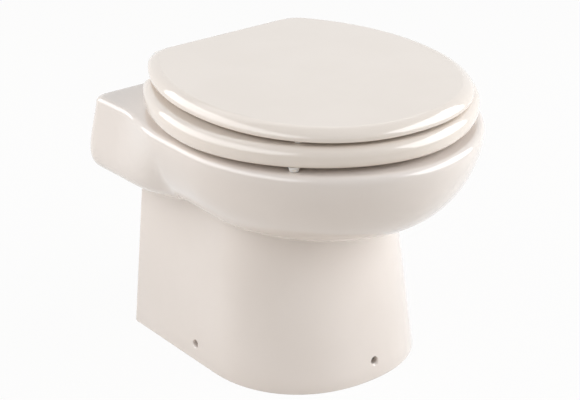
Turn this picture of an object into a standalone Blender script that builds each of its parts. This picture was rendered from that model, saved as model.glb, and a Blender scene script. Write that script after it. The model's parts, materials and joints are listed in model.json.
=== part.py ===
"""Electric marine toilet: a glazed china pan with a seat and lid, over a macerator pump.

Metres, +Z up, the front of the bowl towards -Y. The origin is on the floor, under the
middle of the overall box. The pan is one closed skin, lofted through rings of equal
point count, and the other pieces are turned, lofted, swept or cut from blocks.
"""
import math

import bmesh
import bpy
import numpy as np
from mathutils import Matrix, Vector

for leftover in list(bpy.data.objects):
    bpy.data.objects.remove(leftover, do_unlink=True)

# Shared fits
touch_gap = 0.0003          # between faces that meet
running_gap = 0.0004        # round pins and shafts, on the radius
cut_overrun = 0.006         # how far a cut runs past the face that it opens
smooth_angle = math.radians(35)

# Steps round the pan's ring, for one half from the middle of the rear to the front
rear_steps = 3
corner_steps = 3
waist_steps = 1
bend_steps = 6
front_steps = 11
rear_quarter_steps = rear_steps + corner_steps + waist_steps + bend_steps
turned_sides = 20
small_sides = 10
nut_sides = 6

# Pan: rim and rear ledge
rim_height = 0.3025
rim_half_width = 0.185
rim_front_y = -0.2078
rim_widest_y = -0.009
rim_plan_power = 1.914
rim_edge_radius = 0.0095
ledge_half_width = 0.1711
ledge_waist_half_width = 0.1696
ledge_rear_y = 0.1943
ledge_corner_radius = 0.0145
ledge_side_lean = 0.0153             # how far the sides and the rear lean out below the rim
ledge_rear_lean = 0.0192
ledge_bottom_height = 0.2103
ledge_side_power = 4.97
bend_rear_y = 0.138
bend_front_y = 0.046
deck_thickness = 0.015

# Pan: belly under the rim, and the pedestal
belly_bottom_height = 0.2004
belly_front_y = -0.1336
belly_power = 1.705
belly_steps = 8
underside_drop = 0.010
underside_front_drop = 0.018
pedestal_sizing_height = 0.2396      # where the upper section of the taper is measured
foot_half_width = 0.1307
foot_rear_half_width = 0.1292
foot_front_y = -0.1097
foot_rear_y = 0.1869
top_half_width = 0.1142
top_rear_half_width = 0.1100
top_front_y = -0.0559
top_rear_y = 0.1840
pedestal_widest_y = 0.018
pedestal_power = 2.19
pedestal_corner_radius = 0.0069
foot_edge = 0.0015
china_wall = 0.010
ceiling_height = 0.174

# Pan: inner rim, flush channel, basin and outlet
opening_half_width = 0.138
opening_widest_y = -0.020
opening_front_y = -0.161
opening_rear_y = 0.107
lip_height = 0.034
lip_wall = 0.008
lip_round = 0.003
channel_half_width = 0.170
channel_widest_y = -0.012
channel_front_y = -0.1935
channel_rear_y = 0.142
channel_depth = 0.0125
outlet_y = 0.055
outlet_bore_radius = 0.022
throat_height = 0.150
spigot_radius = 0.030
spigot_bottom = 0.128
spigot_top = 0.143
# depth from the channel's ceiling to the throat, and width from the throat to the channel
basin_shares = ((0.10, 0.995), (0.20, 0.968), (0.31, 0.912), (0.41, 0.838), (0.47, 0.770),
                (0.52, 0.696), (0.57, 0.600), (0.632, 0.486), (0.706, 0.372), (0.794, 0.250),
                (0.89, 0.128), (0.97, 0.034))
funnel_from = 9                      # the rows of basin_shares that show under the china
funnel_side_offset = 0.006
funnel_drop = 0.009

# Pan: cuts
service_side_clearance = 0.016       # beyond the wing nuts
service_front_y = 0.154
fixing_hole_radius = 0.0045
fixing_hole_height = 0.0215
side_hole_y = 0.056
front_hole_x = 0.011                 # as photographed, a little to the right of the middle
hinge_half_spacing = 0.068
hinge_bolt_y = 0.174
hinge_hole_radius = 0.0055
rinse_hole_radius = 0.0085
rinse_height = 0.274

# Seat
seat_half_width = 0.1854
seat_widest_y = -0.0107
seat_front_y = -0.1957
seat_rear_y = 0.140
seat_plan_power = 1.876
seat_side_radius = 0.2477
seat_corner_radius = 0.011
seat_bottom = 0.3093
seat_thickness = 0.0221
seat_lower_inset = 0.004
seat_lower_round = 0.008
seat_upper_round = 0.010
seat_opening_half_width = 0.112
seat_opening_front_y = -0.136
seat_opening_rear_y = 0.108
seat_opening_widest_y = -0.022
seat_dish = 0.012

# Lid
lid_half_width = 0.1669
lid_widest_y = 0.0035
lid_front_y = -0.1884
lid_rear_y = 0.1734
lid_plan_power = 2.167
lid_side_radius = 0.2565
lid_corner_radius = 0.0442
lid_bottom = 0.3361
lid_thickness = 0.0141
lid_edge_round = 0.0147
lid_under_round = 0.002
lid_crown = 0.0006
lid_crown_share = 0.5                # how far from the middle the crown's flat reaches
lid_edge_share = 0.3                 # of the lid's thickness that its upright edge takes
plan_side_steps = 5
plan_corner_steps = 4
plan_rear_steps = 4

# Rubber bumpers
seat_bumper_radius = 0.0065
seat_bumper_front_shares = (0.68, 0.654)     # of the half width and of the front place
seat_bumper_rear_shares = (0.755, 0.5)       # of the half width and of the rear place
lid_bumper_radius = 0.0055
lid_bumper_shares = (0.698, 0.6555)          # of the half width and of the front place
bumper_round = 0.0012

# Hinges
hinge_y = 0.1805
hinge_height = 0.3337
barrel_radius = 0.0065
pin_radius = 0.004
pin_head_radius = 0.0055
pin_head_length = 0.002
post_width = 0.014
lug_width = 0.013
lug_web_reach = 0.020
lug_web_thickness = 0.0058
lid_web_thickness = 0.0075
post_foot_radius = 0.0085
post_foot_height = 0.003
post_stem_depth = 0.012
post_stem_rear = 0.003              # how far behind the pin's axis the stem reaches
stud_radius = 0.004
stud_length = 0.036
gasket_radius = 0.010
gasket_thickness = 0.0015
washer_radius = 0.0105
washer_thickness = 0.003
nut_radius = 0.0075
nut_height = 0.009
nut_wing_span = 0.028
nut_wing_thickness = 0.003
nut_wing_height = 0.013

# Base tray
tray_thickness = 0.004
tray_clearance = 0.003
tray_rear_y = 0.168
fixing_lug_width = 0.022
fixing_lug_depth = 0.016
fixing_lug_height = 0.030
fixing_pilot_radius = 0.0021

# Pump: the shaft runs along Y
pump_height = 0.060
macerator_front_y = 0.030
macerator_rear_y = 0.080
housing_radius = 0.044
housing_wall = 0.0055
housing_flange_radius = 0.052
housing_flange_length = 0.006
neck_radius = 0.030
neck_top = 0.1245
neck_bore_radius = 0.0235
port_radius = 0.013
port_bore_radius = 0.0095
port_reach = 0.066
port_y = 0.0178
choke_thickness = 0.003
choke_slot_radius = 0.004
choke_slot_count = 6
choke_slot_ring_radius = 0.022
shaft_radius = 0.004
shaft_rear_y = 0.0665
impeller_radius = 0.0335
impeller_hub_radius = 0.010
impeller_vane_count = 5
impeller_vane_thickness = 0.0035
impeller_end_gap = 0.0025
blade_length = 0.056
blade_width = 0.012
blade_thickness = 0.003
blade_y = 0.055
blade_nut_radius = 0.007
blade_nut_length = 0.005
flange_thickness = 0.007
flange_seal_radius = 0.0095
housing_gasket_thickness = 0.0012
seal_length = 0.0062
screw_ring_radius = 0.048
screw_head_radius = 0.0035
screw_head_height = 0.003
screw_shank_radius = 0.0018
screw_shank_length = 0.0115
screw_count = 4
screw_turn = math.radians(45)
sleeve_wall = 0.004
sleeve_bottom = 0.1125
sleeve_top = 0.1395

# Motor
motor_radius = 0.036
motor_wall = 0.0018
motor_front_y = -0.062
end_cap_thickness = 0.004
end_cap_boss_radius = 0.013
end_cap_boss_length = 0.005
magnet_thickness = 0.006
armature_radius = 0.0265
armature_slot_count = 8
armature_slot_width = 0.003
armature_slot_depth = 0.006
armature_margin = 0.012
bearing_radius = 0.0095
bearing_length = 0.005
saddle_width = 0.058
saddle_length = 0.030
saddle_y = -0.030
mount_radius = 0.007
mount_height = 0.008
mount_half_spacing = 0.020

# Discharge
discharge_x = -0.084
elbow_radius = 0.0165
elbow_bore_radius = 0.0135
elbow_bend_radius = 0.0185
elbow_front_x = -0.0535
elbow_end_y = 0.086
elbow_steps = 5
flap_sides = 14
valve_length = 0.040
valve_neck_length = 0.010
valve_radius = 0.0225
valve_wall = 0.003
valve_bore_radius = 0.0105
flap_radius = 0.0135
flap_thickness = 0.0022
flap_hinge_rise = 0.0158
flap_pin_radius = 0.0013
flap_ear_width = 0.008
spigot_length = 0.044
barb_count = 4
barb_height = 0.0015

# Rinse water
solenoid_x = 0.052
solenoid_y = 0.148
solenoid_height = 0.062
solenoid_body_width = 0.030
solenoid_body_height = 0.022
solenoid_inlet_radius = 0.0065
solenoid_inlet_length = 0.024
solenoid_port_bore = 0.0035
cross_bore_share = 0.9               # of the port's bore, for a bore that crosses it
bore_past_share = 0.4                # of the port's bore, for the run past a crossing
solenoid_seat_radius = 0.0062
coil_radius = 0.0155
coil_length = 0.030
coil_wall = 0.006
plunger_radius = 0.005
plunger_length = 0.032
spring_radius = 0.004
spring_wall = 0.001
hose_radius = 0.0075
hose_bore_radius = 0.005
hose_spigot_radius = 0.0046
hose_grip = 0.012
rinse_elbow_y = 0.176
rinse_flange_radius = 0.0135
rinse_flange_thickness = 0.003
rinse_elbow_bottom = 0.246
rinse_elbow_front_y = 0.146
clip_wall = 0.0013
clip_width = 0.007

# Wiring
terminal_x = 0.070
terminal_y = 0.010
terminal_length = 0.034
terminal_width = 0.018
terminal_height = 0.016
terminal_well_radius = 0.0028
terminal_well_depth = 0.006
lead_radius = 0.0028
lead_steps = 11
lead_sides = 6
# across, along and up, as shares of the way from one end of the lead to the other
motor_lead_shares = ((0, 0, 0), (0.33, 0, 0.06), (0.67, 0.18, 0.40), (1, 0.47, 0.94),
                     (1, 0.70, 1), (1, 1, 1))
valve_lead_shares = ((0, 0, 0), (0, 0.2, 0), (0.23, 0.5, 0.09), (0.77, 0.78, 0.52),
                     (1, 0.92, 0.94), (1, 1, 1))


def material(name, colour, roughness, metallic=0.0):
    """One plain finish."""
    finish = bpy.data.materials.new(name)
    finish.use_nodes = True
    shader = finish.node_tree.nodes["Principled BSDF"]
    shader.inputs["Base Color"].default_value = (*colour, 1.0)
    shader.inputs["Roughness"].default_value = roughness
    shader.inputs["Metallic"].default_value = metallic
    return finish


china = ((0.80, 0.76, 0.72), 0.12)
seat_plastic = ((0.82, 0.79, 0.75), 0.20)
clear_rubber = ((0.70, 0.67, 0.62), 0.45)
white_plastic = ((0.78, 0.77, 0.74), 0.40)
black_rubber = ((0.03, 0.03, 0.03), 0.70)
grey_plastic = ((0.12, 0.12, 0.13), 0.50)
steel = ((0.55, 0.55, 0.56), 0.28, 1.0)
brass = ((0.62, 0.45, 0.20), 0.30, 1.0)
motor_paint = ((0.05, 0.05, 0.055), 0.42)
copper = ((0.55, 0.25, 0.12), 0.35, 1.0)


def new_object(name, points, faces, finish):
    """An object in world places, faces turned outwards, with its own material."""
    mesh = bpy.data.meshes.new(name)
    mesh.from_pydata([tuple(p) for p in points], [], faces)
    shell = bmesh.new()
    shell.from_mesh(mesh)
    bmesh.ops.recalc_face_normals(shell, faces=shell.faces)
    shell.to_mesh(mesh)
    shell.free()
    mesh.shade_smooth()
    mesh.set_sharp_from_angle(angle=smooth_angle)
    piece = bpy.data.objects.new(name, mesh)
    bpy.context.scene.collection.objects.link(piece)
    if finish is not None:
        mesh.materials.append(material(name, *finish))
    return piece


def loft(name, rings, finish, wrap=False):
    """Skin rings of equal point count. The ends are capped, or joined to each other."""
    count = len(rings[0])
    points = np.concatenate(rings)
    faces = []
    last = len(rings) if wrap else len(rings) - 1
    for row in range(last):
        here = row * count
        there = ((row + 1) % len(rings)) * count
        for k in range(count):
            step = (k + 1) % count
            faces.append((here + k, here + step, there + step, there + k))
    if not wrap:
        faces.append(tuple(range(count)))
        faces.append(tuple(range(len(points) - count, len(points))))
    return new_object(name, points, faces, finish)


def frame_along(axis):
    """Two directions square to a main axis: x, y or z."""
    return {"x": (Vector((0, 1, 0)), Vector((0, 0, 1)), Vector((1, 0, 0))),
            "y": (Vector((0, 0, 1)), Vector((1, 0, 0)), Vector((0, 1, 0))),
            "z": (Vector((1, 0, 0)), Vector((0, 1, 0)), Vector((0, 0, 1)))}[axis]


def circle(centre, radius, axis, sides):
    """A ring of points round an axis."""
    side, up, _ = frame_along(axis)
    angles = np.linspace(0, 2 * math.pi, sides, endpoint=False)
    middle = np.array(centre)
    return middle + radius * (np.outer(np.cos(angles), side) + np.outer(np.sin(angles), up))


def turned(name, centre, profile, axis, finish, bored=False, sides=turned_sides):
    """A profile of (radius, place along the axis) pairs, turned round the axis."""
    along = frame_along(axis)[2]
    rings = [circle(Vector(centre) + along * place, radius, axis, sides)
             for radius, place in profile]
    return loft(name, rings, finish, wrap=bored)


def rod(name, centre, radius, low, high, axis, finish, sides=turned_sides):
    """A plain cylinder between two places along the axis."""
    return turned(name, centre, ((radius, low), (radius, high)), axis, finish, sides=sides)


def tube(name, centre, bore, radius, low, high, axis, finish, sides=turned_sides):
    """A plain sleeve between two places along the axis."""
    profile = ((bore, low), (radius, low), (radius, high), (bore, high))
    return turned(name, centre, profile, axis, finish, bored=True, sides=sides)


def block(name, low, high, finish):
    """A box between two corners."""
    corners = [(x, y, z) for x in (low[0], high[0]) for y in (low[1], high[1])
               for z in (low[2], high[2])]
    faces = [(0, 1, 3, 2), (4, 6, 7, 5), (0, 4, 5, 1), (2, 3, 7, 6), (0, 2, 6, 4), (1, 5, 7, 3)]
    return new_object(name, corners, faces, finish)


def hide_tool(tool):
    """Keep a cutting or joining shape out of the model."""
    tool.hide_render = True
    tool.display_type = "WIRE"
    return tool


def combine(piece, tool, operation):
    """Join, cut or trim a piece with a hidden shape."""
    step = piece.modifiers.new(tool.name, "BOOLEAN")
    step.operation = operation
    step.solver = "EXACT"
    step.object = hide_tool(tool)


def cut(piece, *tools):
    for tool in tools:
        combine(piece, tool, "DIFFERENCE")


def fuse(piece, *tools):
    for tool in tools:
        combine(piece, tool, "UNION")


def pivot(name, place, pieces):
    """An empty on a joint's axis, carrying the pieces that turn or slide with it."""
    empty = bpy.data.objects.new(name, None)
    empty.location = place
    bpy.context.scene.collection.objects.link(empty)
    for piece in pieces:
        piece.parent = empty
        piece.matrix_parent_inverse = Matrix.Translation(-Vector(place))


# Pan rings

class HalfRing:
    """Half of a plan outline, from the middle of the rear round to the middle of the front.

    x, y are the points, out_x, out_y the way outwards over the ledge, ledge is 1 over the
    ledge and falls to 0 round the bend, and front rises from 0 at the widest place to 1.
    """

    def __init__(self, x, y, out_x, out_y, ledge, front):
        self.x, self.y, self.out_x, self.out_y = x, y, out_x, out_y
        self.ledge, self.front = ledge, front

    def ring(self, height):
        """The whole ring at a height, which is one number or one for each point."""
        z = np.broadcast_to(height, self.x.shape)
        half = np.stack([self.x, self.y, z], 1)
        other = half[1:-1][::-1] * (-1, 1, 1)
        return np.concatenate([half, other])

    def moved(self, x, y):
        return HalfRing(x, y, self.out_x, self.out_y, self.ledge, self.front)

    def towards(self, other, share):
        """Part of the way to another half ring."""
        return self.moved(self.x + (other.x - self.x) * share, self.y + (other.y - self.y) * share)


def ledge_outline(half_side, widest_y, front_y, power, half_rear, half_waist, rear_y, corner,
                  bend_from, bend_to, smooth_bend):
    """Straight rear, corner arc, side, bend out to the widest place, superellipse front."""
    rear_x = np.linspace(0, 1, rear_steps, endpoint=False) * (half_rear - corner)
    turn = np.linspace(math.pi / 2, 0, corner_steps, endpoint=False)
    corner_x = half_rear - corner + corner * np.cos(turn)
    corner_y = rear_y - corner + corner * np.sin(turn)
    side_share = np.linspace(0, 1, waist_steps, endpoint=False)
    side_x = half_rear + (half_waist - half_rear) * side_share
    side_y = rear_y - corner + (bend_from - rear_y + corner) * side_share
    bend_y = np.linspace(bend_from, widest_y, bend_steps, endpoint=False)
    way = np.clip((bend_from - bend_y) / (bend_from - bend_to), 0, 1)
    eased = way * way * (3 - 2 * way) if smooth_bend else way
    bend_x = half_waist + (half_side - half_waist) * eased
    sweep = np.linspace(0, math.pi / 2, front_steps + 1)
    front_x = half_side * np.cos(sweep) ** (2 / power)
    front_x[-1] = 0
    curve_y = widest_y - (widest_y - front_y) * np.sin(sweep) ** (2 / power)
    x = np.concatenate([rear_x, corner_x, side_x, bend_x, front_x])
    y = np.concatenate([np.full(rear_steps, rear_y), corner_y, side_y, bend_y, curve_y])
    sideways = np.ones(waist_steps + bend_steps + front_steps + 1)
    out_x = np.concatenate([np.zeros(rear_steps), np.cos(turn), sideways])
    out_y = np.concatenate([np.ones(rear_steps), np.sin(turn), sideways * 0])
    flat = np.ones(rear_steps + corner_steps + waist_steps)
    ledge = np.concatenate([flat, 1 - eased, sweep * 0])
    front = np.concatenate([flat * 0, eased * 0, np.sin(sweep) ** 2])
    return HalfRing(x, y, out_x, out_y, ledge, front)


def rim_outline(inset=0.0):
    """The pan's outline at the rim, drawn in by an inset."""
    return ledge_outline(rim_half_width - inset, rim_widest_y, rim_front_y + inset,
                         rim_plan_power, ledge_half_width - inset,
                         ledge_waist_half_width - inset, ledge_rear_y - inset,
                         ledge_corner_radius - inset / 2, bend_rear_y, bend_front_y, True)


def pedestal_sizes(height):
    """Half width at the widest place, half width at the rear, front place and rear place."""
    foot = np.array([foot_half_width, foot_rear_half_width, foot_front_y, foot_rear_y])
    top = np.array([top_half_width, top_rear_half_width, top_front_y, top_rear_y])
    return foot + (top - foot) * height / pedestal_sizing_height


def pedestal_section(height, inset, rear_y=None):
    half_side, half_rear, front_y, rear = pedestal_sizes(height)
    rear = rear - inset if rear_y is None else rear_y
    return ledge_outline(half_side - inset, pedestal_widest_y, front_y + inset, pedestal_power,
                         half_rear - inset, half_rear - inset, rear, pedestal_corner_radius,
                         rear - pedestal_corner_radius * 2, pedestal_widest_y, False)


def pedestal_outline(height, inset=0.0):
    """The tapered pedestal's outline at a height, or at one height for each point."""
    foot = pedestal_section(0, inset)
    return foot.towards(pedestal_section(pedestal_sizing_height, inset),
                        height / pedestal_sizing_height)


def egg_outline(half_width, widest_y, front_y, rear_y):
    """Two half ellipses that meet at the widest place."""
    rear_turn = np.linspace(math.pi / 2, 0, rear_quarter_steps, endpoint=False)
    front_turn = np.linspace(0, math.pi / 2, front_steps + 1)
    x = half_width * np.concatenate([np.cos(rear_turn), np.cos(front_turn)])
    x[0] = 0
    x[-1] = 0
    rear_half = widest_y + (rear_y - widest_y) * np.sin(rear_turn)
    front_half = widest_y + (front_y - widest_y) * np.sin(front_turn)
    y = np.concatenate([rear_half, front_half])
    none = np.zeros(len(x))
    return HalfRing(x, y, none, none, none, none)


def opening_outline(offset=0.0):
    return egg_outline(opening_half_width + offset, opening_widest_y,
                       opening_front_y - offset, opening_rear_y + offset)


def outlet_outline(radius):
    return egg_outline(radius, outlet_y, outlet_y - radius, outlet_y + radius)


def basin_outline(width_share, offset=0.0):
    """Between the round throat and the egg under the flush channel."""
    throat = outlet_outline(outlet_bore_radius + offset)
    top = egg_outline(channel_half_width + offset, channel_widest_y,
                      channel_front_y - offset, channel_rear_y + offset)
    return throat.towards(top, width_share)


def pan_rings():
    """Down the inside of the bowl, round the outlet, and up the outside to the rim."""
    channel_top = rim_height - channel_depth
    lip_bottom = rim_height - lip_height
    basin_depth = channel_top - throat_height
    rings = [opening_outline(lip_round).ring(rim_height),
             opening_outline().ring(rim_height - lip_round),
             opening_outline().ring(lip_bottom + lip_round),
             opening_outline(lip_wall / 2).ring(lip_bottom),
             opening_outline(lip_wall).ring(lip_bottom + lip_round),
             opening_outline(lip_wall).ring(channel_top),
             basin_outline(1).ring(channel_top)]
    for depth_share, width_share in basin_shares:
        rings.append(basin_outline(width_share).ring(channel_top - basin_depth * depth_share))
    rings += [outlet_outline(outlet_bore_radius).ring(throat_height),
              outlet_outline(outlet_bore_radius).ring(spigot_bottom),
              outlet_outline(spigot_radius).ring(spigot_bottom),
              outlet_outline(spigot_radius).ring(spigot_top)]
    for depth_share, width_share in basin_shares[:funnel_from - 1:-1]:
        height = channel_top - basin_depth * depth_share - funnel_drop
        rings.append(basin_outline(width_share, funnel_side_offset).ring(height))
    rings += [pedestal_outline(ceiling_height, china_wall).ring(ceiling_height),
              pedestal_outline(0, china_wall).ring(0),
              pedestal_outline(0, foot_edge).ring(0),
              pedestal_outline(foot_edge).ring(foot_edge)]
    rings += pan_outside_rings()
    return rings


def pan_outside_rings():
    """From the top of the pedestal, out under the belly, and up to the rim's edge."""
    rim = rim_outline()
    belly_level = belly_bottom_height + (ledge_bottom_height - belly_bottom_height) * rim.ledge
    drop = underside_drop + underside_front_drop * rim.front
    post_level = belly_level - drop
    post = pedestal_outline(post_level)
    half_side, half_rear, _, rear_y = pedestal_sizes(belly_bottom_height)
    belly = ledge_outline(half_side, rim_widest_y, belly_front_y, rim_plan_power, half_rear,
                          half_rear, rear_y, pedestal_corner_radius, bend_rear_y,
                          rim_widest_y, False)
    rings = [post.ring(post_level)]
    for turn in np.radians((60, 30)):
        level = belly_level - drop * (1 - math.cos(turn))
        rings.append(belly.towards(post, math.sin(turn)).ring(level))
    start_level = rim_height - rim_edge_radius
    power = belly_power + (ledge_side_power - belly_power) * rim.ledge
    for turn in np.linspace(math.pi / 2, 0, belly_steps + 1):
        down = math.sin(turn) ** (2 / power)
        inward = 1 - math.cos(turn) ** (2 / power)
        lean = rim.ledge * down
        wide = rim.moved(rim.x + rim.out_x * ledge_side_lean * lean,
                         rim.y + rim.out_y * ledge_rear_lean * lean)
        level = start_level + (belly_level - start_level) * down
        rings.append(wide.towards(belly, inward).ring(level))
    for turn in np.radians((35, 65, 90)):
        inset = rim_edge_radius * (1 - math.cos(turn))
        rings.append(rim_outline(inset).ring(start_level + rim_edge_radius * math.sin(turn)))
    return rings


# Seat and lid outlines

def plan_outline(half_width, widest_y, front_y, power, side_radius, corner, rear_y, inset=0.0):
    """Straight rear, rounded rear corner, arc side and superellipse front."""
    half_width, side_radius, rear_y = half_width - inset, side_radius - inset, rear_y - inset
    corner, front_y = corner - inset, front_y + inset
    centre_y = rear_y - corner
    centre_x = half_width - side_radius + math.sqrt((side_radius - corner) ** 2
                                                    - (centre_y - widest_y) ** 2)
    meet = math.atan2(centre_y - widest_y, centre_x - half_width + side_radius)
    rear_x = np.linspace(0, centre_x, plan_rear_steps, endpoint=False)
    turn = np.linspace(math.pi / 2, meet, plan_corner_steps, endpoint=False)
    side = np.linspace(meet, 0, plan_side_steps, endpoint=False)
    sweep = np.linspace(0, math.pi / 2, front_steps + 1)
    x = np.concatenate([rear_x, centre_x + corner * np.cos(turn),
                        half_width - side_radius + side_radius * np.cos(side),
                        half_width * np.cos(sweep) ** (2 / power)])
    x[-1] = 0
    y = np.concatenate([np.full(plan_rear_steps, rear_y), centre_y + corner * np.sin(turn),
                        widest_y + side_radius * np.sin(side),
                        widest_y - (widest_y - front_y) * np.sin(sweep) ** (2 / power)])
    none = np.zeros(len(x))
    return HalfRing(x, y, none, none, none, none)


def seat_outline(inset=0.0):
    return plan_outline(seat_half_width, seat_widest_y, seat_front_y, seat_plan_power,
                        seat_side_radius, seat_corner_radius, seat_rear_y, inset)


def seat_opening_outline(offset=0.0):
    return egg_outline(seat_opening_half_width + offset, seat_opening_widest_y,
                       seat_opening_front_y - offset, seat_opening_rear_y + offset)


def lid_outline(inset=0.0):
    return plan_outline(lid_half_width, lid_widest_y, lid_front_y, lid_plan_power,
                        lid_side_radius, lid_corner_radius, lid_rear_y, inset)


def seat_rings():
    """Up the outside, over the dished top, and down the opening."""
    seat_top = seat_bottom + seat_thickness
    rings = []
    for turn in np.radians((90, 45, 0)):
        inset = seat_lower_inset * (1 - math.cos(turn))
        rings.append(seat_outline(inset).ring(seat_bottom + seat_lower_round * (1 - math.sin(turn))))
    for turn in np.radians((0, 35, 65, 90)):
        inset = seat_upper_round * (1 - math.cos(turn))
        level = seat_top - seat_upper_round * (1 - math.sin(turn))
        rings.append(seat_outline(inset).ring(level))
    for turn in np.radians((80, 45, 10)):
        offset = seat_dish * (1 - math.cos(turn))
        level = seat_top - seat_dish * (1 - math.sin(turn))
        rings.append(seat_opening_outline(offset).ring(level))
    rings.append(seat_opening_outline().ring(seat_bottom + seat_lower_inset))
    rings.append(seat_opening_outline(seat_lower_inset).ring(seat_bottom))
    return rings


def lid_rings():
    """From the flat underside up the edge and over the broad round to a slight crown."""
    upright = lid_thickness * lid_edge_share
    rings = [lid_outline(lid_under_round).ring(lid_bottom),
             lid_outline().ring(lid_bottom + lid_under_round)]
    for turn in np.radians((0, 20, 40, 60, 78, 90)):
        inset = lid_edge_round * (1 - math.cos(turn))
        level = lid_bottom + upright + (lid_thickness - upright) * math.sin(turn)
        rings.append(lid_outline(inset).ring(level))
    middle = np.array([0, (lid_front_y + lid_rear_y) / 2, 0])
    crown = middle + (rings[-1] - middle) * (lid_crown_share, lid_crown_share, 1)
    rings.append(crown + (0, 0, lid_crown))
    return rings


# Swept pieces

def smooth_path(points, steps):
    """A curve through the points: Catmull-Rom, with the same number of steps on each span."""
    nodes = np.array(points, dtype=float)
    nodes = np.concatenate([[2 * nodes[0] - nodes[1]], nodes, [2 * nodes[-1] - nodes[-2]]])
    path = []
    for k in range(1, len(nodes) - 2):
        a, b, c, d = nodes[k - 1:k + 3]
        for t in np.linspace(0, 1, steps, endpoint=False):
            path.append(0.5 * (2 * b + (c - a) * t + (2 * a - 5 * b + 4 * c - d) * t * t
                               + (3 * b - a - 3 * c + d) * t * t * t))
    path.append(nodes[-2])
    return np.array(path)


def swept_rings(path, radius, sides):
    """Rings square to a path, carried along it without twisting."""
    ways = np.gradient(path, axis=0)
    ways[0] = path[1] - path[0]
    ways[-1] = path[-1] - path[-2]
    ways = ways / np.linalg.norm(ways, axis=1)[:, None]
    guide = np.array(Vector(ways[0]).orthogonal().normalized())
    angles = np.linspace(0, 2 * math.pi, sides, endpoint=False)
    rings = []
    for place, way in zip(path, ways):
        guide = guide - way * np.dot(guide, way)
        guide = guide / np.linalg.norm(guide)
        across = np.cross(way, guide)
        rings.append(place + radius * (np.outer(np.cos(angles), guide)
                                       + np.outer(np.sin(angles), across)))
    return rings


def lead(name, start, end, shares):
    """A solid cable along a smooth path, through shares of the way between its ends."""
    points = np.array(start) + (np.array(end) - start) * shares
    path = smooth_path(points, lead_steps // (len(points) - 1) + 1)
    return loft(name, swept_rings(path, lead_radius, lead_sides), motor_paint)


def hollow_sweep(name, path, bore, radius, sides, finish):
    """A pipe: its outside out along the path and its bore back again."""
    outside = swept_rings(path, radius, sides)
    inside = swept_rings(path, bore, sides)
    return loft(name, outside + inside[::-1], finish, wrap=True)


def bend(start, along, towards, radius, steps):
    """Points round a quarter bend, from one direction into another."""
    turn = np.linspace(0, math.pi / 2, steps)
    start, along, towards = np.array(start), np.array(along), np.array(towards)
    return start + radius * (np.outer(np.sin(turn), along) + np.outer(1 - np.cos(turn), towards))


def spin_about(piece, centre, axis, angle):
    """Turn a shape's points about an axis through a centre."""
    place = Matrix.Translation(Vector(centre))
    piece.data.transform(place @ Matrix.Rotation(angle, 4, axis.upper()) @ place.inverted())
    return piece


# The pieces

def make_pan():
    pan = loft("china_pan", pan_rings(), china, wrap=True)
    shelf = rim_height - deck_thickness
    half_width = hinge_half_spacing + nut_wing_span / 2 + service_side_clearance
    cut(pan, block("service_cut", (-half_width, service_front_y, -cut_overrun),
                   (half_width, ledge_rear_y + ledge_rear_lean + cut_overrun, shelf), None))
    for side, word in ((-1, "left"), (1, "right")):
        cut(pan,
            rod(f"side_hole_{word}_cut", (0, side_hole_y, fixing_hole_height),
                fixing_hole_radius, side * (foot_half_width - china_wall * 2),
                side * (foot_half_width + cut_overrun), "x", None, small_sides),
            rod(f"hinge_hole_{word}_cut", (side * hinge_half_spacing, hinge_bolt_y, 0),
                hinge_hole_radius, shelf - cut_overrun, rim_height + cut_overrun, "z", None,
                small_sides))
    cut(pan,
        rod("front_hole_cut", (front_hole_x, 0, fixing_hole_height), fixing_hole_radius,
            foot_front_y - cut_overrun, foot_front_y + china_wall * 2, "y", None, small_sides),
        rod("rinse_hole_cut", (0, 0, rinse_height), rinse_hole_radius,
            channel_rear_y - cut_overrun, service_front_y + cut_overrun, "y", None, small_sides))


def hinge_lug(word, side_x, low, high):
    """A barrel on the hinge's axis and a web that reaches into the panel."""
    barrel = rod(f"{word}_barrel", (side_x, hinge_y, hinge_height), barrel_radius,
                 -lug_width / 2, lug_width / 2, "x", None)
    web = block(f"{word}_web", (side_x - lug_width / 2, low[0], low[1]),
                (side_x + lug_width / 2, high[0], high[1]), None)
    return web, barrel


def pin_bore(word, side_x, radius):
    """A bore through a lug, for the hinge pin."""
    return rod(f"{word}_bore", (side_x, hinge_y, hinge_height), radius,
               -lug_width, lug_width, "x", None)


def make_seat():
    seat = loft("seat_ring", seat_rings(), seat_plastic, wrap=True)
    offset = hinge_half_spacing - post_width / 2 - running_gap - lug_width / 2
    low = hinge_height - barrel_radius
    for side, word in ((-1, "left"), (1, "right")):
        fuse(seat, *hinge_lug(f"seat_{word}", side * offset, (seat_rear_y - lug_web_reach, low),
                              (hinge_y, low + lug_web_thickness)))
        cut(seat, pin_bore(f"seat_{word}", side * offset, pin_radius + running_gap))
    height = seat_bottom - rim_height - touch_gap * 2
    for word, shares, end_y in (("front", seat_bumper_front_shares, seat_front_y),
                                ("rear", seat_bumper_rear_shares, seat_rear_y)):
        for side, hand in ((-1, "left"), (1, "right")):
            bumper(f"seat_bumper_{word}_{hand}",
                   (side * seat_half_width * shares[0], end_y * shares[1],
                    rim_height + touch_gap), seat_bumper_radius, height)


def bumper(name, base, radius, height):
    """A rubber button, rounded where it lands."""
    turned(name, base, ((radius - bumper_round, 0), (radius, bumper_round),
                        (radius, height)), "z", clear_rubber, sides=small_sides)


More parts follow.
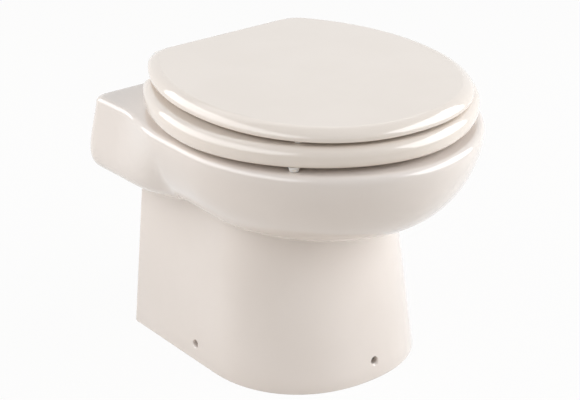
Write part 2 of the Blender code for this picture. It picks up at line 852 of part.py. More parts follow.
def make_lid():
    lid = loft("lid", lid_rings(), seat_plastic)
    offset = hinge_half_spacing + post_width / 2 + running_gap + lug_width / 2
    for side, word in ((-1, "left"), (1, "right")):
        low = hinge_height + touch_gap
        fuse(lid, *hinge_lug(f"lid_{word}", side * offset, (lid_rear_y - lug_web_reach, low),
                             (hinge_y, low + lid_web_thickness)))
        cut(lid, pin_bore(f"lid_{word}", side * offset, pin_radius + running_gap))
        seat_top = seat_bottom + seat_thickness
        bumper(f"lid_bumper_{word}",
               (side * lid_half_width * lid_bumper_shares[0], lid_front_y * lid_bumper_shares[1],
                seat_top + touch_gap), lid_bumper_radius, lid_bottom - seat_top - touch_gap * 2)


def make_hinge(side, word):
    x = side * hinge_half_spacing
    gasket_low = rim_height + touch_gap
    foot_low = gasket_low + gasket_thickness + touch_gap
    foot_high = foot_low + post_foot_height
    post = block(f"hinge_post_{word}",
                 (x - post_width / 2, hinge_y + post_stem_rear - post_stem_depth,
                  foot_high - touch_gap),
                 (x + post_width / 2, hinge_y + post_stem_rear, hinge_height), white_plastic)
    fuse(post,
         rod(f"post_barrel_{word}", (x, hinge_y, hinge_height), barrel_radius,
             -post_width / 2 + touch_gap, post_width / 2 - touch_gap, "x", None),
         rod(f"post_foot_{word}", (x, hinge_bolt_y, 0), post_foot_radius, foot_low, foot_high,
             "z", None),
         rod(f"post_stud_{word}", (x, hinge_bolt_y, 0), stud_radius, foot_low - stud_length,
             foot_high, "z", None, small_sides))
    cut(post, rod(f"post_bore_{word}", (x, hinge_y, hinge_height), pin_radius + touch_gap,
                  -post_width, post_width, "x", None))
    tube(f"post_gasket_{word}", (x, hinge_bolt_y, gasket_low), stud_radius + touch_gap,
         gasket_radius, 0, gasket_thickness, "z", black_rubber, small_sides)
    reach = post_width / 2 + running_gap + lug_width + touch_gap
    ends = ((pin_radius, -side * reach), (pin_radius, side * reach),
            (pin_head_radius, side * reach), (pin_head_radius, side * (reach + pin_head_length)))
    turned(f"hinge_pin_{word}", (x, hinge_y, hinge_height), ends, "x", steel)
    washer_top = rim_height - deck_thickness - touch_gap
    tube(f"hinge_washer_{word}", (x, hinge_bolt_y, washer_top - washer_thickness),
         stud_radius + touch_gap, washer_radius, 0, washer_thickness, "z", black_rubber,
         small_sides)
    nut_top = washer_top - washer_thickness - touch_gap
    nut = rod(f"hinge_nut_{word}", (x, hinge_bolt_y, nut_top), nut_radius, -nut_height, 0, "z",
              white_plastic, small_sides)
    fuse(nut, block(f"nut_wings_{word}",
                    (x - nut_wing_span / 2, hinge_bolt_y - nut_wing_thickness / 2,
                     nut_top - nut_wing_height),
                    (x + nut_wing_span / 2, hinge_bolt_y + nut_wing_thickness / 2,
                     nut_top - touch_gap), None))
    cut(nut, rod(f"nut_bore_{word}", (x, hinge_bolt_y, nut_top), stud_radius + touch_gap,
                 -nut_wing_height - cut_overrun, cut_overrun, "z", None, small_sides))


def wall_places(height, side_y, front_x):
    """How far out the pedestal's inner wall is at the side, and how far forward in front."""
    wall = pedestal_outline(height, china_wall)
    front = slice(-front_steps - 1, None)
    return (np.interp(side_y, wall.y[::-1], wall.x[::-1]),
            np.interp(front_x, wall.x[front][::-1], wall.y[front][::-1]))


def make_tray():
    """The floor plate inside the pedestal, with its fixing lugs and the valve's pillar."""
    inset = china_wall + tray_clearance
    rings = [pedestal_section(0, inset, tray_rear_y).ring(height) for height in (0, tray_thickness)]
    tray = loft("base_tray", rings, grey_plastic)
    half_side, front_y = wall_places(fixing_lug_height, side_hole_y + fixing_lug_width / 2,
                                     front_hole_x + fixing_lug_width / 2)
    half_side, front_y = half_side - touch_gap, front_y + touch_gap
    low = tray_thickness / 2
    for side, word in ((-1, "left"), (1, "right")):
        inner, outer = sorted((side * (half_side - fixing_lug_depth), side * half_side))
        fuse(tray, block(f"lug_{word}", (inner, side_hole_y - fixing_lug_width / 2, low),
                         (outer, side_hole_y + fixing_lug_width / 2, fixing_lug_height), None))
        cut(tray, rod(f"lug_pilot_{word}", (0, side_hole_y, fixing_hole_height),
                      fixing_pilot_radius, side * (half_side - fixing_lug_depth * 2 / 3),
                      side * (half_side + cut_overrun), "x", None, small_sides))
    fuse(tray, block("lug_front", (front_hole_x - fixing_lug_width / 2, front_y, low),
                     (front_hole_x + fixing_lug_width / 2, front_y + fixing_lug_depth,
                      fixing_lug_height), None))
    cut(tray, rod("lug_pilot_front", (front_hole_x, 0, fixing_hole_height), fixing_pilot_radius,
                  front_y - cut_overrun, front_y + fixing_lug_depth * 2 / 3, "y", None,
                  small_sides))
    pillar = solenoid_body_width / 3
    fuse(tray, block("valve_pillar", (solenoid_x - pillar, solenoid_y - pillar, low),
                     (solenoid_x + pillar, solenoid_y + pillar,
                      solenoid_height - touch_gap), None))


def make_sleeve():
    bore = (spigot_radius + touch_gap) / math.cos(math.pi / turned_sides)
    tube("outlet_sleeve", (0, outlet_y, 0), bore, bore + sleeve_wall, sleeve_bottom, sleeve_top,
         "z", black_rubber)


housing_front_y = flange_thickness + housing_gasket_thickness + touch_gap * 2


def make_housing():
    axis = (0, 0, pump_height)
    chamber = housing_radius - housing_wall
    flange_back = housing_front_y + housing_flange_length
    housing = turned("pump_housing", axis,
                     ((housing_flange_radius, housing_front_y),
                      (housing_flange_radius, flange_back), (housing_radius, flange_back),
                      (housing_radius, macerator_rear_y)), "y", grey_plastic)
    port = rod("port", (0, port_y, pump_height), port_radius, -port_reach, 0, "x", None)
    cut(port, rod("port_trim", axis, housing_flange_radius + touch_gap * 2, -cut_overrun,
                  housing_front_y + touch_gap, "y", None))
    fuse(housing, port,
         rod("neck", (0, outlet_y, 0), neck_radius, pump_height, neck_top, "z", None))
    cut(housing,
        rod("chamber_cut", axis, chamber, housing_front_y - cut_overrun,
            macerator_rear_y - housing_wall, "y", None),
        rod("neck_cut", (0, outlet_y, 0), neck_bore_radius, pump_height,
            neck_top + cut_overrun, "z", None),
        rod("port_cut", (0, port_y, pump_height), port_bore_radius, -port_reach - cut_overrun,
            0, "x", None, small_sides))
    for k in range(screw_count):
        cut(housing, rod(f"housing_screw_hole_{k + 1}", screw_place(k),
                         screw_shank_radius + touch_gap, housing_front_y - cut_overrun,
                         flange_back + cut_overrun, "y", None, small_sides))
    choke = rod("choke_plate", axis, chamber - touch_gap, macerator_front_y - choke_thickness,
                macerator_front_y, "y", steel)
    cut(choke, rod("choke_bore", axis, shaft_radius + running_gap * 3, 0, macerator_rear_y, "y",
                   None, small_sides))
    for k in range(choke_slot_count):
        angle = 2 * math.pi * k / choke_slot_count
        centre = (choke_slot_ring_radius * math.cos(angle), 0,
                  pump_height + choke_slot_ring_radius * math.sin(angle))
        cut(choke, rod(f"choke_slot_{k + 1}", centre, choke_slot_radius, 0, macerator_rear_y,
                       "y", None, small_sides))


def screw_place(k):
    """The axis of one of the flange screws."""
    angle = screw_turn + 2 * math.pi * k / screw_count
    return (screw_ring_radius * math.cos(angle), 0,
            pump_height + screw_ring_radius * math.sin(angle))


def make_flange():
    axis = (0, 0, pump_height)
    flange = turned("motor_flange", axis,
                    ((flange_seal_radius, -bearing_length - touch_gap * 2),
                     (end_cap_boss_radius, -bearing_length - touch_gap * 2),
                     (end_cap_boss_radius, 0), (housing_flange_radius, 0),
                     (housing_flange_radius, flange_thickness),
                     (flange_seal_radius, flange_thickness)), "y", grey_plastic, bored=True)
    gasket = tube("housing_gasket", axis, housing_radius - housing_wall, housing_flange_radius,
                  flange_thickness + touch_gap, housing_front_y - touch_gap, "y", black_rubber)
    for k in range(screw_count):
        for piece, word in ((flange, "flange"), (gasket, "gasket")):
            cut(piece, rod(f"{word}_screw_hole_{k + 1}", screw_place(k),
                           screw_shank_radius + touch_gap, -cut_overrun,
                           housing_front_y + cut_overrun, "y", None, small_sides))
        turned(f"flange_screw_{k + 1}", screw_place(k),
               ((screw_head_radius, -touch_gap - screw_head_height),
                (screw_head_radius, -touch_gap), (screw_shank_radius, -touch_gap),
                (screw_shank_radius, screw_shank_length)), "y", steel, sides=small_sides)
    tube("shaft_seal", axis, shaft_radius + running_gap, flange_seal_radius - touch_gap,
         (flange_thickness - seal_length) / 2, (flange_thickness + seal_length) / 2, "y",
         black_rubber, small_sides)
    tube("bearing_rear", axis, shaft_radius + running_gap, bearing_radius - touch_gap,
         -bearing_length - touch_gap, -touch_gap, "y", steel, small_sides)


def make_motor():
    axis = (0, 0, pump_height)
    tube("motor_can", axis, motor_radius - motor_wall, motor_radius, motor_front_y, -touch_gap,
         "y", motor_paint)
    plate_back = motor_front_y - touch_gap
    plate_front = plate_back - end_cap_thickness
    boss_back = plate_back + end_cap_boss_length
    pocket_front = boss_back - bearing_length - touch_gap
    turned("motor_end_cap", axis,
           ((bearing_radius, pocket_front), (bearing_radius, boss_back),
            (end_cap_boss_radius, boss_back), (end_cap_boss_radius, plate_back),
            (motor_radius, plate_back), (motor_radius, plate_front)), "y", motor_paint)
    tube("bearing_front", axis, shaft_radius + running_gap, bearing_radius - touch_gap,
         pocket_front + touch_gap, boss_back, "y", steel, small_sides)
    magnet_radius = motor_radius - motor_wall - touch_gap
    tube("magnet_ring", axis, magnet_radius - magnet_thickness, magnet_radius,
         motor_front_y + armature_margin, -armature_margin, "y", motor_paint)


def make_saddle():
    mount_top = tray_thickness + touch_gap + mount_height
    saddle = block("motor_saddle",
                   (-saddle_width / 2, saddle_y - saddle_length / 2, mount_top + touch_gap),
                   (saddle_width / 2, saddle_y + saddle_length / 2,
                    pump_height - motor_radius / 2), grey_plastic)
    cut(saddle, rod("saddle_cut", (0, saddle_y, pump_height), motor_radius + touch_gap,
                    -saddle_length, saddle_length, "y", None))
    for side, word in ((-1, "left"), (1, "right")):
        rod(f"motor_mount_{word}",
            (side * mount_half_spacing, saddle_y, tray_thickness + touch_gap), mount_radius, 0,
            mount_height, "z", black_rubber, small_sides)


def make_rotor():
    """Everything that turns with the shaft."""
    axis = (0, 0, pump_height)
    hub_bore = shaft_radius + touch_gap
    shaft_front = motor_front_y - touch_gap + end_cap_boss_length - bearing_length
    shaft = rod("pump_shaft", axis, shaft_radius, shaft_front, shaft_rear_y, "y", steel,
                small_sides)
    impeller_front = housing_front_y + impeller_end_gap
    impeller_rear = macerator_front_y - choke_thickness - impeller_end_gap
    impeller = rod("impeller", axis, impeller_hub_radius, impeller_front, impeller_rear, "y",
                   brass, small_sides)
    for k in range(impeller_vane_count):
        vane = block(f"vane_{k + 1}",
                     (impeller_hub_radius / 2, impeller_front + touch_gap,
                      pump_height - impeller_vane_thickness / 2),
                     (impeller_radius, impeller_rear - touch_gap,
                      pump_height + impeller_vane_thickness / 2), None)
        fuse(impeller, spin_about(vane, axis, "y", 2 * math.pi * k / impeller_vane_count))
    cut(impeller, rod("impeller_bore", axis, hub_bore, 0, macerator_rear_y, "y", None,
                      small_sides))
    blade_back = blade_y + blade_thickness / 2
    blade = block("macerator_blade",
                  (-blade_length / 2, blade_y - blade_thickness / 2,
                   pump_height - blade_width / 2),
                  (blade_length / 2, blade_back, pump_height + blade_width / 2), steel)
    cut(blade, rod("blade_bore", axis, hub_bore, 0, macerator_rear_y, "y", None, small_sides))
    nut_front = blade_back + touch_gap
    nut = rod("blade_nut", axis, blade_nut_radius, nut_front, nut_front + blade_nut_length, "y",
              steel, nut_sides)
    cut(nut, rod("blade_nut_bore", axis, hub_bore, 0, macerator_rear_y, "y", None, small_sides))
    armature = rod("armature", axis, armature_radius,
                   motor_front_y + armature_margin + touch_gap, -armature_margin, "y", copper)
    for k in range(armature_slot_count):
        slot = block(f"slot_{k + 1}",
                     (armature_radius - armature_slot_depth, motor_front_y,
                      pump_height - armature_slot_width / 2),
                     (armature_radius + cut_overrun, 0, pump_height + armature_slot_width / 2),
                     None)
        cut(armature, spin_about(slot, axis, "y", 2 * math.pi * (k + 0.5) / armature_slot_count))
    cut(armature, rod("armature_bore", axis, hub_bore, motor_front_y, 0, "y", None, small_sides))
    pivot("rotor_axis", axis, (shaft, impeller, blade, nut, armature))


def make_discharge():
    corner_x = discharge_x + elbow_bend_radius
    front = (elbow_front_x, port_y, pump_height)
    rounding = bend((corner_x, port_y, pump_height), (-1, 0, 0), (0, 1, 0), elbow_bend_radius,
                    elbow_steps)
    path = np.concatenate([[front], rounding, [(discharge_x, elbow_end_y, pump_height)]])
    hollow_sweep("discharge_elbow", path, elbow_bore_radius, elbow_radius, turned_sides,
                 black_rubber)
    neck = elbow_bore_radius - touch_gap
    body_front = elbow_end_y + touch_gap
    body_rear = body_front + valve_length
    cavity = valve_radius - valve_wall
    axis = (discharge_x, 0, pump_height)
    turned("check_valve_body", axis,
           ((valve_bore_radius, body_front - valve_neck_length),
            (neck, body_front - valve_neck_length), (neck, body_front),
            (valve_radius, body_front), (valve_radius, body_rear), (neck, body_rear),
            (neck, body_rear + valve_neck_length),
            (valve_bore_radius, body_rear + valve_neck_length),
            (valve_bore_radius, body_rear - valve_wall), (cavity, body_rear - valve_wall),
            (cavity, body_front + valve_wall), (valve_bore_radius, body_front + valve_wall)),
           "y", grey_plastic, bored=True)
    make_flap(body_front + valve_wall + touch_gap, cavity)
    make_spigot(body_rear + touch_gap)


def make_flap(seat_y, cavity):
    """A hinged disc that closes the pipe towards the pump."""
    ear_radius = flap_pin_radius * 2
    hinge = (discharge_x, seat_y + ear_radius, pump_height + flap_hinge_rise)
    flap = rod("check_flap", (discharge_x, seat_y, pump_height), flap_radius, 0, flap_thickness,
               "y", black_rubber, flap_sides)
    fuse(flap,
         rod("flap_ear", hinge, ear_radius, -flap_ear_width / 2, flap_ear_width / 2, "x", None,
             small_sides),
         block("flap_web",
               (discharge_x - flap_ear_width / 2 + touch_gap, seat_y + touch_gap, pump_height),
               (discharge_x + flap_ear_width / 2 - touch_gap, seat_y + flap_thickness * 2 / 3,
                hinge[2]), None))
    cut(flap, rod("flap_bore", hinge, flap_pin_radius + running_gap, -flap_ear_width,
                  flap_ear_width, "x", None, small_sides))
    reach = math.sqrt(cavity ** 2 - (flap_hinge_rise + flap_pin_radius) ** 2) - touch_gap * 2
    rod("flap_pin", hinge, flap_pin_radius, -reach, reach, "x", steel, small_sides)
    pivot("flap_axis", hinge, (flap,))


def make_spigot(front_y):
    """The hose tail: a socket over the valve's rear neck, then barbs round the bore."""
    socket = elbow_bore_radius
    outer = socket + valve_wall
    socket_end = front_y + valve_neck_length + touch_gap
    end = front_y + spigot_length
    profile = [(socket, front_y), (outer, front_y), (outer, socket_end + valve_wall)]
    pitch = (end - socket_end - valve_wall) / barb_count
    for k in range(barb_count):
        foot = socket_end + valve_wall + pitch * k
        profile += [(socket + barb_height, foot + touch_gap), (socket, foot + pitch)]
    profile += [(valve_bore_radius, end), (valve_bore_radius, socket_end), (socket, socket_end)]
    turned("discharge_spigot", (discharge_x, 0, pump_height), profile, "y", grey_plastic,
           bored=True)


def make_solenoid():
    half = solenoid_body_width / 2
    middle = (solenoid_x, solenoid_y, solenoid_height + solenoid_body_height / 2)
    top = solenoid_height + solenoid_body_height
    body = block("solenoid_body", (solenoid_x - half, solenoid_y - half, solenoid_height),
                 (solenoid_x + half, solenoid_y + half, top), white_plastic)
    fuse(body,
         rod("inlet", middle, solenoid_inlet_radius, 0, half + solenoid_inlet_length, "y", None,
             small_sides),
         rod("outlet", middle, hose_spigot_radius, 0,
             solenoid_body_height / 2 + hose_grip, "z", None, small_sides))
    past = solenoid_port_bore * bore_past_share
    cut(body,
        rod("inlet_cut", middle, solenoid_port_bore, past,
            half + solenoid_inlet_length + cut_overrun, "y", None, small_sides),
        rod("outlet_cut", middle, solenoid_port_bore * cross_bore_share, past,
            solenoid_body_height / 2 + hose_grip + cut_overrun, "z", None, small_sides),
        rod("plunger_cut", middle, solenoid_seat_radius, -plunger_radius, half + cut_overrun,
            "x", None, small_sides))
    coil_start = half + touch_gap
    coil_floor = coil_start + coil_length - coil_wall
    bore = plunger_radius + running_gap
    turned("solenoid_coil", middle,
           ((bore, coil_floor), (bore, coil_start), (coil_radius, coil_start),
            (coil_radius, coil_start + coil_length)), "x", motor_paint)
    plunger_back = plunger_length - plunger_radius + touch_gap
    plunger = rod("valve_plunger", middle, plunger_radius, -plunger_radius + touch_gap,
                  plunger_back, "x", steel, small_sides)
    tube("plunger_spring", middle, spring_radius - spring_wall, spring_radius,
         plunger_back + touch_gap, coil_floor - touch_gap, "x", steel, small_sides)
    pivot("plunger_axis", middle, (plunger,))
    make_rinse(top)


def make_rinse(valve_top):
    """The hose from the valve up to the elbow that feeds the flush channel."""
    wall = service_front_y + touch_gap
    elbow_bottom = rinse_elbow_bottom
    stub = rinse_hole_radius - touch_gap * 3
    axis = (0, 0, rinse_height)
    elbow_profile = ((stub, rinse_elbow_front_y), (stub, wall), (rinse_flange_radius, wall),
                     (rinse_flange_radius, wall + rinse_flange_thickness),
                     (stub, wall + rinse_flange_thickness), (stub, rinse_elbow_y + stub))
    elbow = turned("rinse_elbow", axis, elbow_profile, "y", white_plastic)
    past = solenoid_port_bore * bore_past_share
    fuse(elbow, rod("rinse_tail", (0, rinse_elbow_y, 0), hose_spigot_radius, elbow_bottom,
                    rinse_height, "z", None, small_sides))
    cut(elbow,
        rod("rinse_bore", axis, solenoid_port_bore, rinse_elbow_front_y - cut_overrun,
            rinse_elbow_y + past, "y", None, small_sides),
        rod("rinse_tail_bore", (0, rinse_elbow_y, 0), solenoid_port_bore * cross_bore_share,
            elbow_bottom - cut_overrun, rinse_height + past, "z", None, small_sides))
    low = valve_top + touch_gap
    high = elbow_bottom + hose_grip
    share = np.linspace(0, 1, lead_steps)
    ease = share * share * (3 - 2 * share)
    run = np.stack([solenoid_x * (1 - ease), solenoid_y + (rinse_elbow_y - solenoid_y) * ease,
                    low + hose_grip + (elbow_bottom - low - hose_grip) * share], 1)
    path = np.concatenate([[(solenoid_x, solenoid_y, low)], run, [(0, rinse_elbow_y, high)]])
    hollow_sweep("rinse_hose", path, hose_bore_radius, hose_radius, small_sides, grey_plastic)
    clip_bore = hose_radius + touch_gap
    for word, x, y, middle in (("lower", solenoid_x, solenoid_y, low + hose_grip / 2),
                               ("upper", 0, rinse_elbow_y, high - hose_grip / 2)):
        tube(f"hose_clip_{word}", (x, y, middle), clip_bore, clip_bore + clip_wall,
             -clip_width / 2, clip_width / 2, "z", steel, small_sides)


def make_wiring():
    low = tray_thickness + touch_gap
    front = terminal_y - terminal_length / 2
    rear = terminal_y + terminal_length / 2
    terminal = block("terminal_block", (terminal_x - terminal_width / 2, front, low),
                     (terminal_x + terminal_width / 2, rear, low + terminal_height),
                     white_plastic)
    for side in (-1, 1):
        for end in (-1, 1):
            centre = (terminal_x + side * terminal_width / 4, terminal_y + end * terminal_length / 4,
                      low + terminal_height)
            cut(terminal, rod(f"well_{side}_{end}", centre, terminal_well_radius,
                              -terminal_well_depth, cut_overrun, "z", None, small_sides))
    height = low + terminal_height / 2
    lead("motor_lead", (motor_radius + touch_gap, motor_front_y + armature_margin, pump_height),
         (terminal_x, front - touch_gap, height), motor_lead_shares)
    coil_x = solenoid_x + solenoid_body_width / 2 + coil_length / 2
    lead("valve_lead", (terminal_x, rear + touch_gap, height),
         (coil_x, solenoid_y - coil_radius - touch_gap,
          solenoid_height + solenoid_body_height / 2), valve_lead_shares)


make_pan()
make_seat()
make_lid()
make_hinge(-1, "left")
make_hinge(1, "right")
make_tray()
make_sleeve()
make_housing()
make_flange()
make_motor()
make_saddle()
make_rotor()
make_discharge()
make_solenoid()
make_wiring()
objects = bpy.data.objects
hinge = (0, hinge_y, hinge_height)
pivot("seat_axis", hinge, [objects[name] for name in objects.keys() if name.startswith("seat_")
                           and not objects[name].hide_render and objects[name].data])
pivot("lid_axis", hinge, [objects[name] for name in objects.keys() if name.startswith("lid")
                          and not objects[name].hide_render and objects[name].data])
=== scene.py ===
# %% [markdown]
# # An electric marine toilet
# This is a compact china toilet for a boat. The glazed pan stands on an open-backed
# pedestal, a seat and a lid turn on two hinges behind the bowl, and a macerator pump hides
# inside the pedestal. The construction is loaded first and never moves. Every cell after
# that dresses one piece of it: first its shape, as a surface worked out with numpy, and
# then its finish, as a procedural material.

# %% Load the fixed frame
import json
import math

import bmesh
import bpy
import numpy as np
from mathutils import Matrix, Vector

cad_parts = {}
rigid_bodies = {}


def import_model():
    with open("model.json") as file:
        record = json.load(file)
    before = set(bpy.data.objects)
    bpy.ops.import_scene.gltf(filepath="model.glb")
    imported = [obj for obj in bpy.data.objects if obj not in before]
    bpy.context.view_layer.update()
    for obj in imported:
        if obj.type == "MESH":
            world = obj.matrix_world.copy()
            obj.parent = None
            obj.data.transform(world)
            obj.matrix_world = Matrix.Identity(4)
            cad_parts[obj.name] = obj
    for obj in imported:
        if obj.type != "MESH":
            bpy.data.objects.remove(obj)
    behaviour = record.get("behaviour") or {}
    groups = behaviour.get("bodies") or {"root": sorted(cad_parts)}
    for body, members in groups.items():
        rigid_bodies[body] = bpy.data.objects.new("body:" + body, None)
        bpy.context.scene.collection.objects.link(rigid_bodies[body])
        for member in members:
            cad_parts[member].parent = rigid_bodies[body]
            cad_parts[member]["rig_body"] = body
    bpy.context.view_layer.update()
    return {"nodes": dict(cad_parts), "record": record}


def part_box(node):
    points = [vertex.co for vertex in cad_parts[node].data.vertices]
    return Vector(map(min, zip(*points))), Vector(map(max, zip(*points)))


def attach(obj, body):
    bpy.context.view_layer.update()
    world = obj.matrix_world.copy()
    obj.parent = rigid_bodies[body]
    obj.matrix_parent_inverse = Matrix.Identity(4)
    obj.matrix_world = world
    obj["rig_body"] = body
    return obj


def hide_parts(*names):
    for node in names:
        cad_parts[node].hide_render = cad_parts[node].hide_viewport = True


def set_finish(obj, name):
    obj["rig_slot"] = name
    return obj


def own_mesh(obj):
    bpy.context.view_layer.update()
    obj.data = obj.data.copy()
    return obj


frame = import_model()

nodes = frame["nodes"]

# %% [markdown]
# ## The camera and the studio
# The camera comes first, because every later judgement is made through it. Its direction
# and distance came from matching the outlines of the lid, seat, rim and pedestal. A long
# lens from two metres keeps the upright lines nearly parallel. The studio is one floor with
# a pale finish and large soft lamps, which show the glaze as broad, smooth highlights.

# %% The camera
camera_azimuth, camera_elevation = -37.97, 23.99
camera_distance = 2.1773
camera_target = Vector((-0.0144, 0.022, 0.1868))
camera_lens_mm, sensor_mm = 116.53, 36.0
camera_reach = 60


def in_scene(name, data):
    """A new object in the scene, at the origin."""
    made = bpy.data.objects.new(name, data)
    bpy.context.scene.collection.objects.link(made)
    return made


def aim(thing, target, azimuth, elevation, distance):
    """Stand a camera or lamp off at two angles in degrees, looking at its target."""
    turn, rise = math.radians(azimuth), math.radians(elevation)
    away = Vector((math.sin(turn) * math.cos(rise), -math.cos(turn) * math.cos(rise),
                   math.sin(rise)))
    thing.location = target + away * distance
    thing.rotation_euler = away.to_track_quat("Z", "Y").to_euler()


camera_data = bpy.data.cameras.new("camera")
camera_data.lens = camera_lens_mm
camera_data.sensor_width = sensor_mm
camera_data.clip_end = camera_reach
camera = in_scene("camera", camera_data)
aim(camera, camera_target, camera_azimuth, camera_elevation, camera_distance)
bpy.context.scene.camera = camera
print("camera at", [round(value, 3) for value in camera.location])

# %% [markdown]
# ## How a surface becomes a mesh
# Most pieces here are skins: a row of rings with equally many points, joined by quads. A
# ring may be a circle, an egg or the outline of the whole pan, so one helper serves them
# all. It closes the ends with caps, or joins the last ring to the first when the skin is
# hollow like a tyre. The sign of the enclosed volume shows whether the faces point out.

# %% Skins of quads
smooth_angle = math.radians(32)
seam_merge, slit_sides = 0.000002, 8
hands = ((-1, "left"), (1, "right"))


def smoothed(mesh):
    """Smooth shading, except across edges that turn further than the smooth angle."""
    mesh.shade_smooth()
    mesh.set_sharp_from_angle(angle=smooth_angle)
    return mesh


def finished_object(name, points, faces):
    """A smooth-shaded object at the origin, with its faces pointing outwards."""
    mesh = bpy.data.meshes.new(name)
    mesh.from_pydata(points.tolist(), [], faces)
    shell = bmesh.new()
    shell.from_mesh(mesh)
    if shell.calc_volume(signed=True) < 0:
        bmesh.ops.reverse_faces(shell, faces=shell.faces)
    shell.to_mesh(mesh)
    shell.free()
    return in_scene(name, smoothed(mesh))


def skin(name, rings, wrap=False):
    """Quads between neighbouring rings. Ring k joins ring k + 1, and point j joins j + 1."""
    grid = np.array(rings)
    rows, count, _ = grid.shape
    here = np.arange(rows * count).reshape(rows, count)
    beside = np.roll(here, -1, axis=1)
    above, above_beside = np.roll(here, -1, axis=0), np.roll(beside, -1, axis=0)
    if not wrap:
        here, beside, above, above_beside = (part[:-1] for part in
                                             (here, beside, above, above_beside))
    faces = np.stack([here, beside, above_beside, above], -1).reshape(-1, 4).tolist()
    if not wrap:
        faces.append(list(range(count))[::-1])
        faces.append(list(range((rows - 1) * count, rows * count)))
    return finished_object(name, grid.reshape(-1, 3), faces)


def close_seams(mesh):
    """Merge points that nearly meet, drop faces without area, and fill the slits left."""
    seams = bmesh.new()
    seams.from_mesh(mesh)
    bmesh.ops.remove_doubles(seams, verts=seams.verts, dist=seam_merge)
    bmesh.ops.dissolve_degenerate(seams, dist=seam_merge, edges=seams.edges)
    slits = [edge for edge in seams.edges if edge.is_boundary]
    bmesh.ops.holes_fill(seams, edges=slits, sides=slit_sides)
    seams.to_mesh(mesh)
    seams.free()


def combine(piece, tools, operation="DIFFERENCE"):
    """Cut the tools out of a piece, or join them to it, and close the slits this leaves."""
    for tool in tools:
        step = piece.modifiers.new("combine", "BOOLEAN")
        step.operation = operation
        step.solver = "EXACT"
        step.object = tool
    graph = bpy.context.evaluated_depsgraph_get()
    mesh = bpy.data.meshes.new_from_object(piece.evaluated_get(graph), depsgraph=graph)
    piece.modifiers.clear()
    piece.data = mesh
    close_seams(mesh)
    smoothed(mesh)
    for tool in tools:
        bpy.data.objects.remove(tool, do_unlink=True)
    return piece


print("skins turn sharp from", round(math.degrees(smooth_angle)), "degrees")

# %% [markdown]
# Turned pieces, pipes and plates need three more shapes: a profile spun round an axis, a
# circle carried along a path, and a box with rounded edges. Where a turned piece is solid,
# its profile starts and ends on a tiny ring round the axis, which a cap closes.

# %% Turned, swept and boxed shapes
pole = 0.0001


def axis_frame(axis):
    """Two directions square to a main axis, and the axis itself."""
    directions = {"x": ((0, 1, 0), (0, 0, 1), (1, 0, 0)),
                  "y": ((0, 0, 1), (1, 0, 0), (0, 1, 0)),
                  "z": ((1, 0, 0), (0, 1, 0), (0, 0, 1))}
    return (np.array(direction, dtype=float) for direction in directions[axis])


def turned(name, centre, profile, axis="z", bored=False, sides=72):
    """Spin (radius, place) pairs round an axis: point = centre + place * axis + radius * circle."""
    side, up, along = axis_frame(axis)
    turn = np.linspace(0, 2 * math.pi, sides, endpoint=False)
    circle = np.outer(np.cos(turn), side) + np.outer(np.sin(turn), up)
    radius, place = np.array(profile, dtype=float).T
    rings = np.array(centre) + place[:, None, None] * along + radius[:, None, None] * circle
    return skin(name, rings, wrap=bored)


def softened(profile, round_radius, steps=5, closed=False):
    """Round the corners of a profile: each corner becomes a quadratic curve between cut-backs."""
    points = np.array(profile, dtype=float)
    before, after = np.roll(points, 1, axis=0), np.roll(points, -1, axis=0)
    result = []
    for k, corner in enumerate(points):
        if not closed and k in (0, len(points) - 1):
            result.append(corner[None])
            continue
        back, ahead = before[k] - corner, after[k] - corner
        reach = min(round_radius, np.linalg.norm(back) * 0.45, np.linalg.norm(ahead) * 0.45)
        start = corner + back / np.linalg.norm(back) * reach
        end = corner + ahead / np.linalg.norm(ahead) * reach
        t = np.linspace(0, 1, steps)[:, None]
        result.append((1 - t) ** 2 * start + 2 * t * (1 - t) * corner + t * t * end)
    return np.concatenate(result)


def lathe(name, centre, profile, edge, steps=5, axis="z", bored=False, sides=72):
    """Round a profile's corners and spin it. A bored piece's profile is a closed loop."""
    return turned(name, centre, softened(profile, edge, steps, bored), axis, bored, sides)


def rod(name, centre, radius, low, high, axis="z", edge=0.0006, sides=48):
    """A softened rectangle spun round the axis that it stands on."""
    return lathe(name, centre, [(pole, low), (radius, low), (radius, high), (pole, high)],
                 edge, 4, axis, sides=sides)


def sleeve(name, centre, bore, radius, low, high, axis="z", edge=0.0005, sides=64):
    """A softened rectangle spun round an axis beside it, which leaves a bore."""
    return lathe(name, centre, [(bore, low), (radius, low), (radius, high), (bore, high)],
                 edge, 4, axis, True, sides)


def drill(name, centre, radius, low, high, axis="z", sides=72):
    """A plain cylinder to cut with, from one place on its axis to another."""
    return turned(name, centre, [(radius, low), (radius, high)], axis, sides=sides)


def smooth_path(points, steps):
    """A Catmull-Rom curve: each span is a cubic that keeps its neighbours' direction."""
    knots = np.array(points, dtype=float)
    knots = np.concatenate([[2 * knots[0] - knots[1]], knots, [2 * knots[-1] - knots[-2]]])
    t = np.linspace(0, 1, steps, endpoint=False)[:, None]
    spans = [0.5 * (2 * b + (c - a) * t + (2 * a - 5 * b + 4 * c - d) * t ** 2
                    + (3 * b - a - 3 * c + d) * t ** 3)
             for a, b, c, d in zip(knots, knots[1:], knots[2:], knots[3:])]
    return np.concatenate(spans + [knots[-2:-1]])


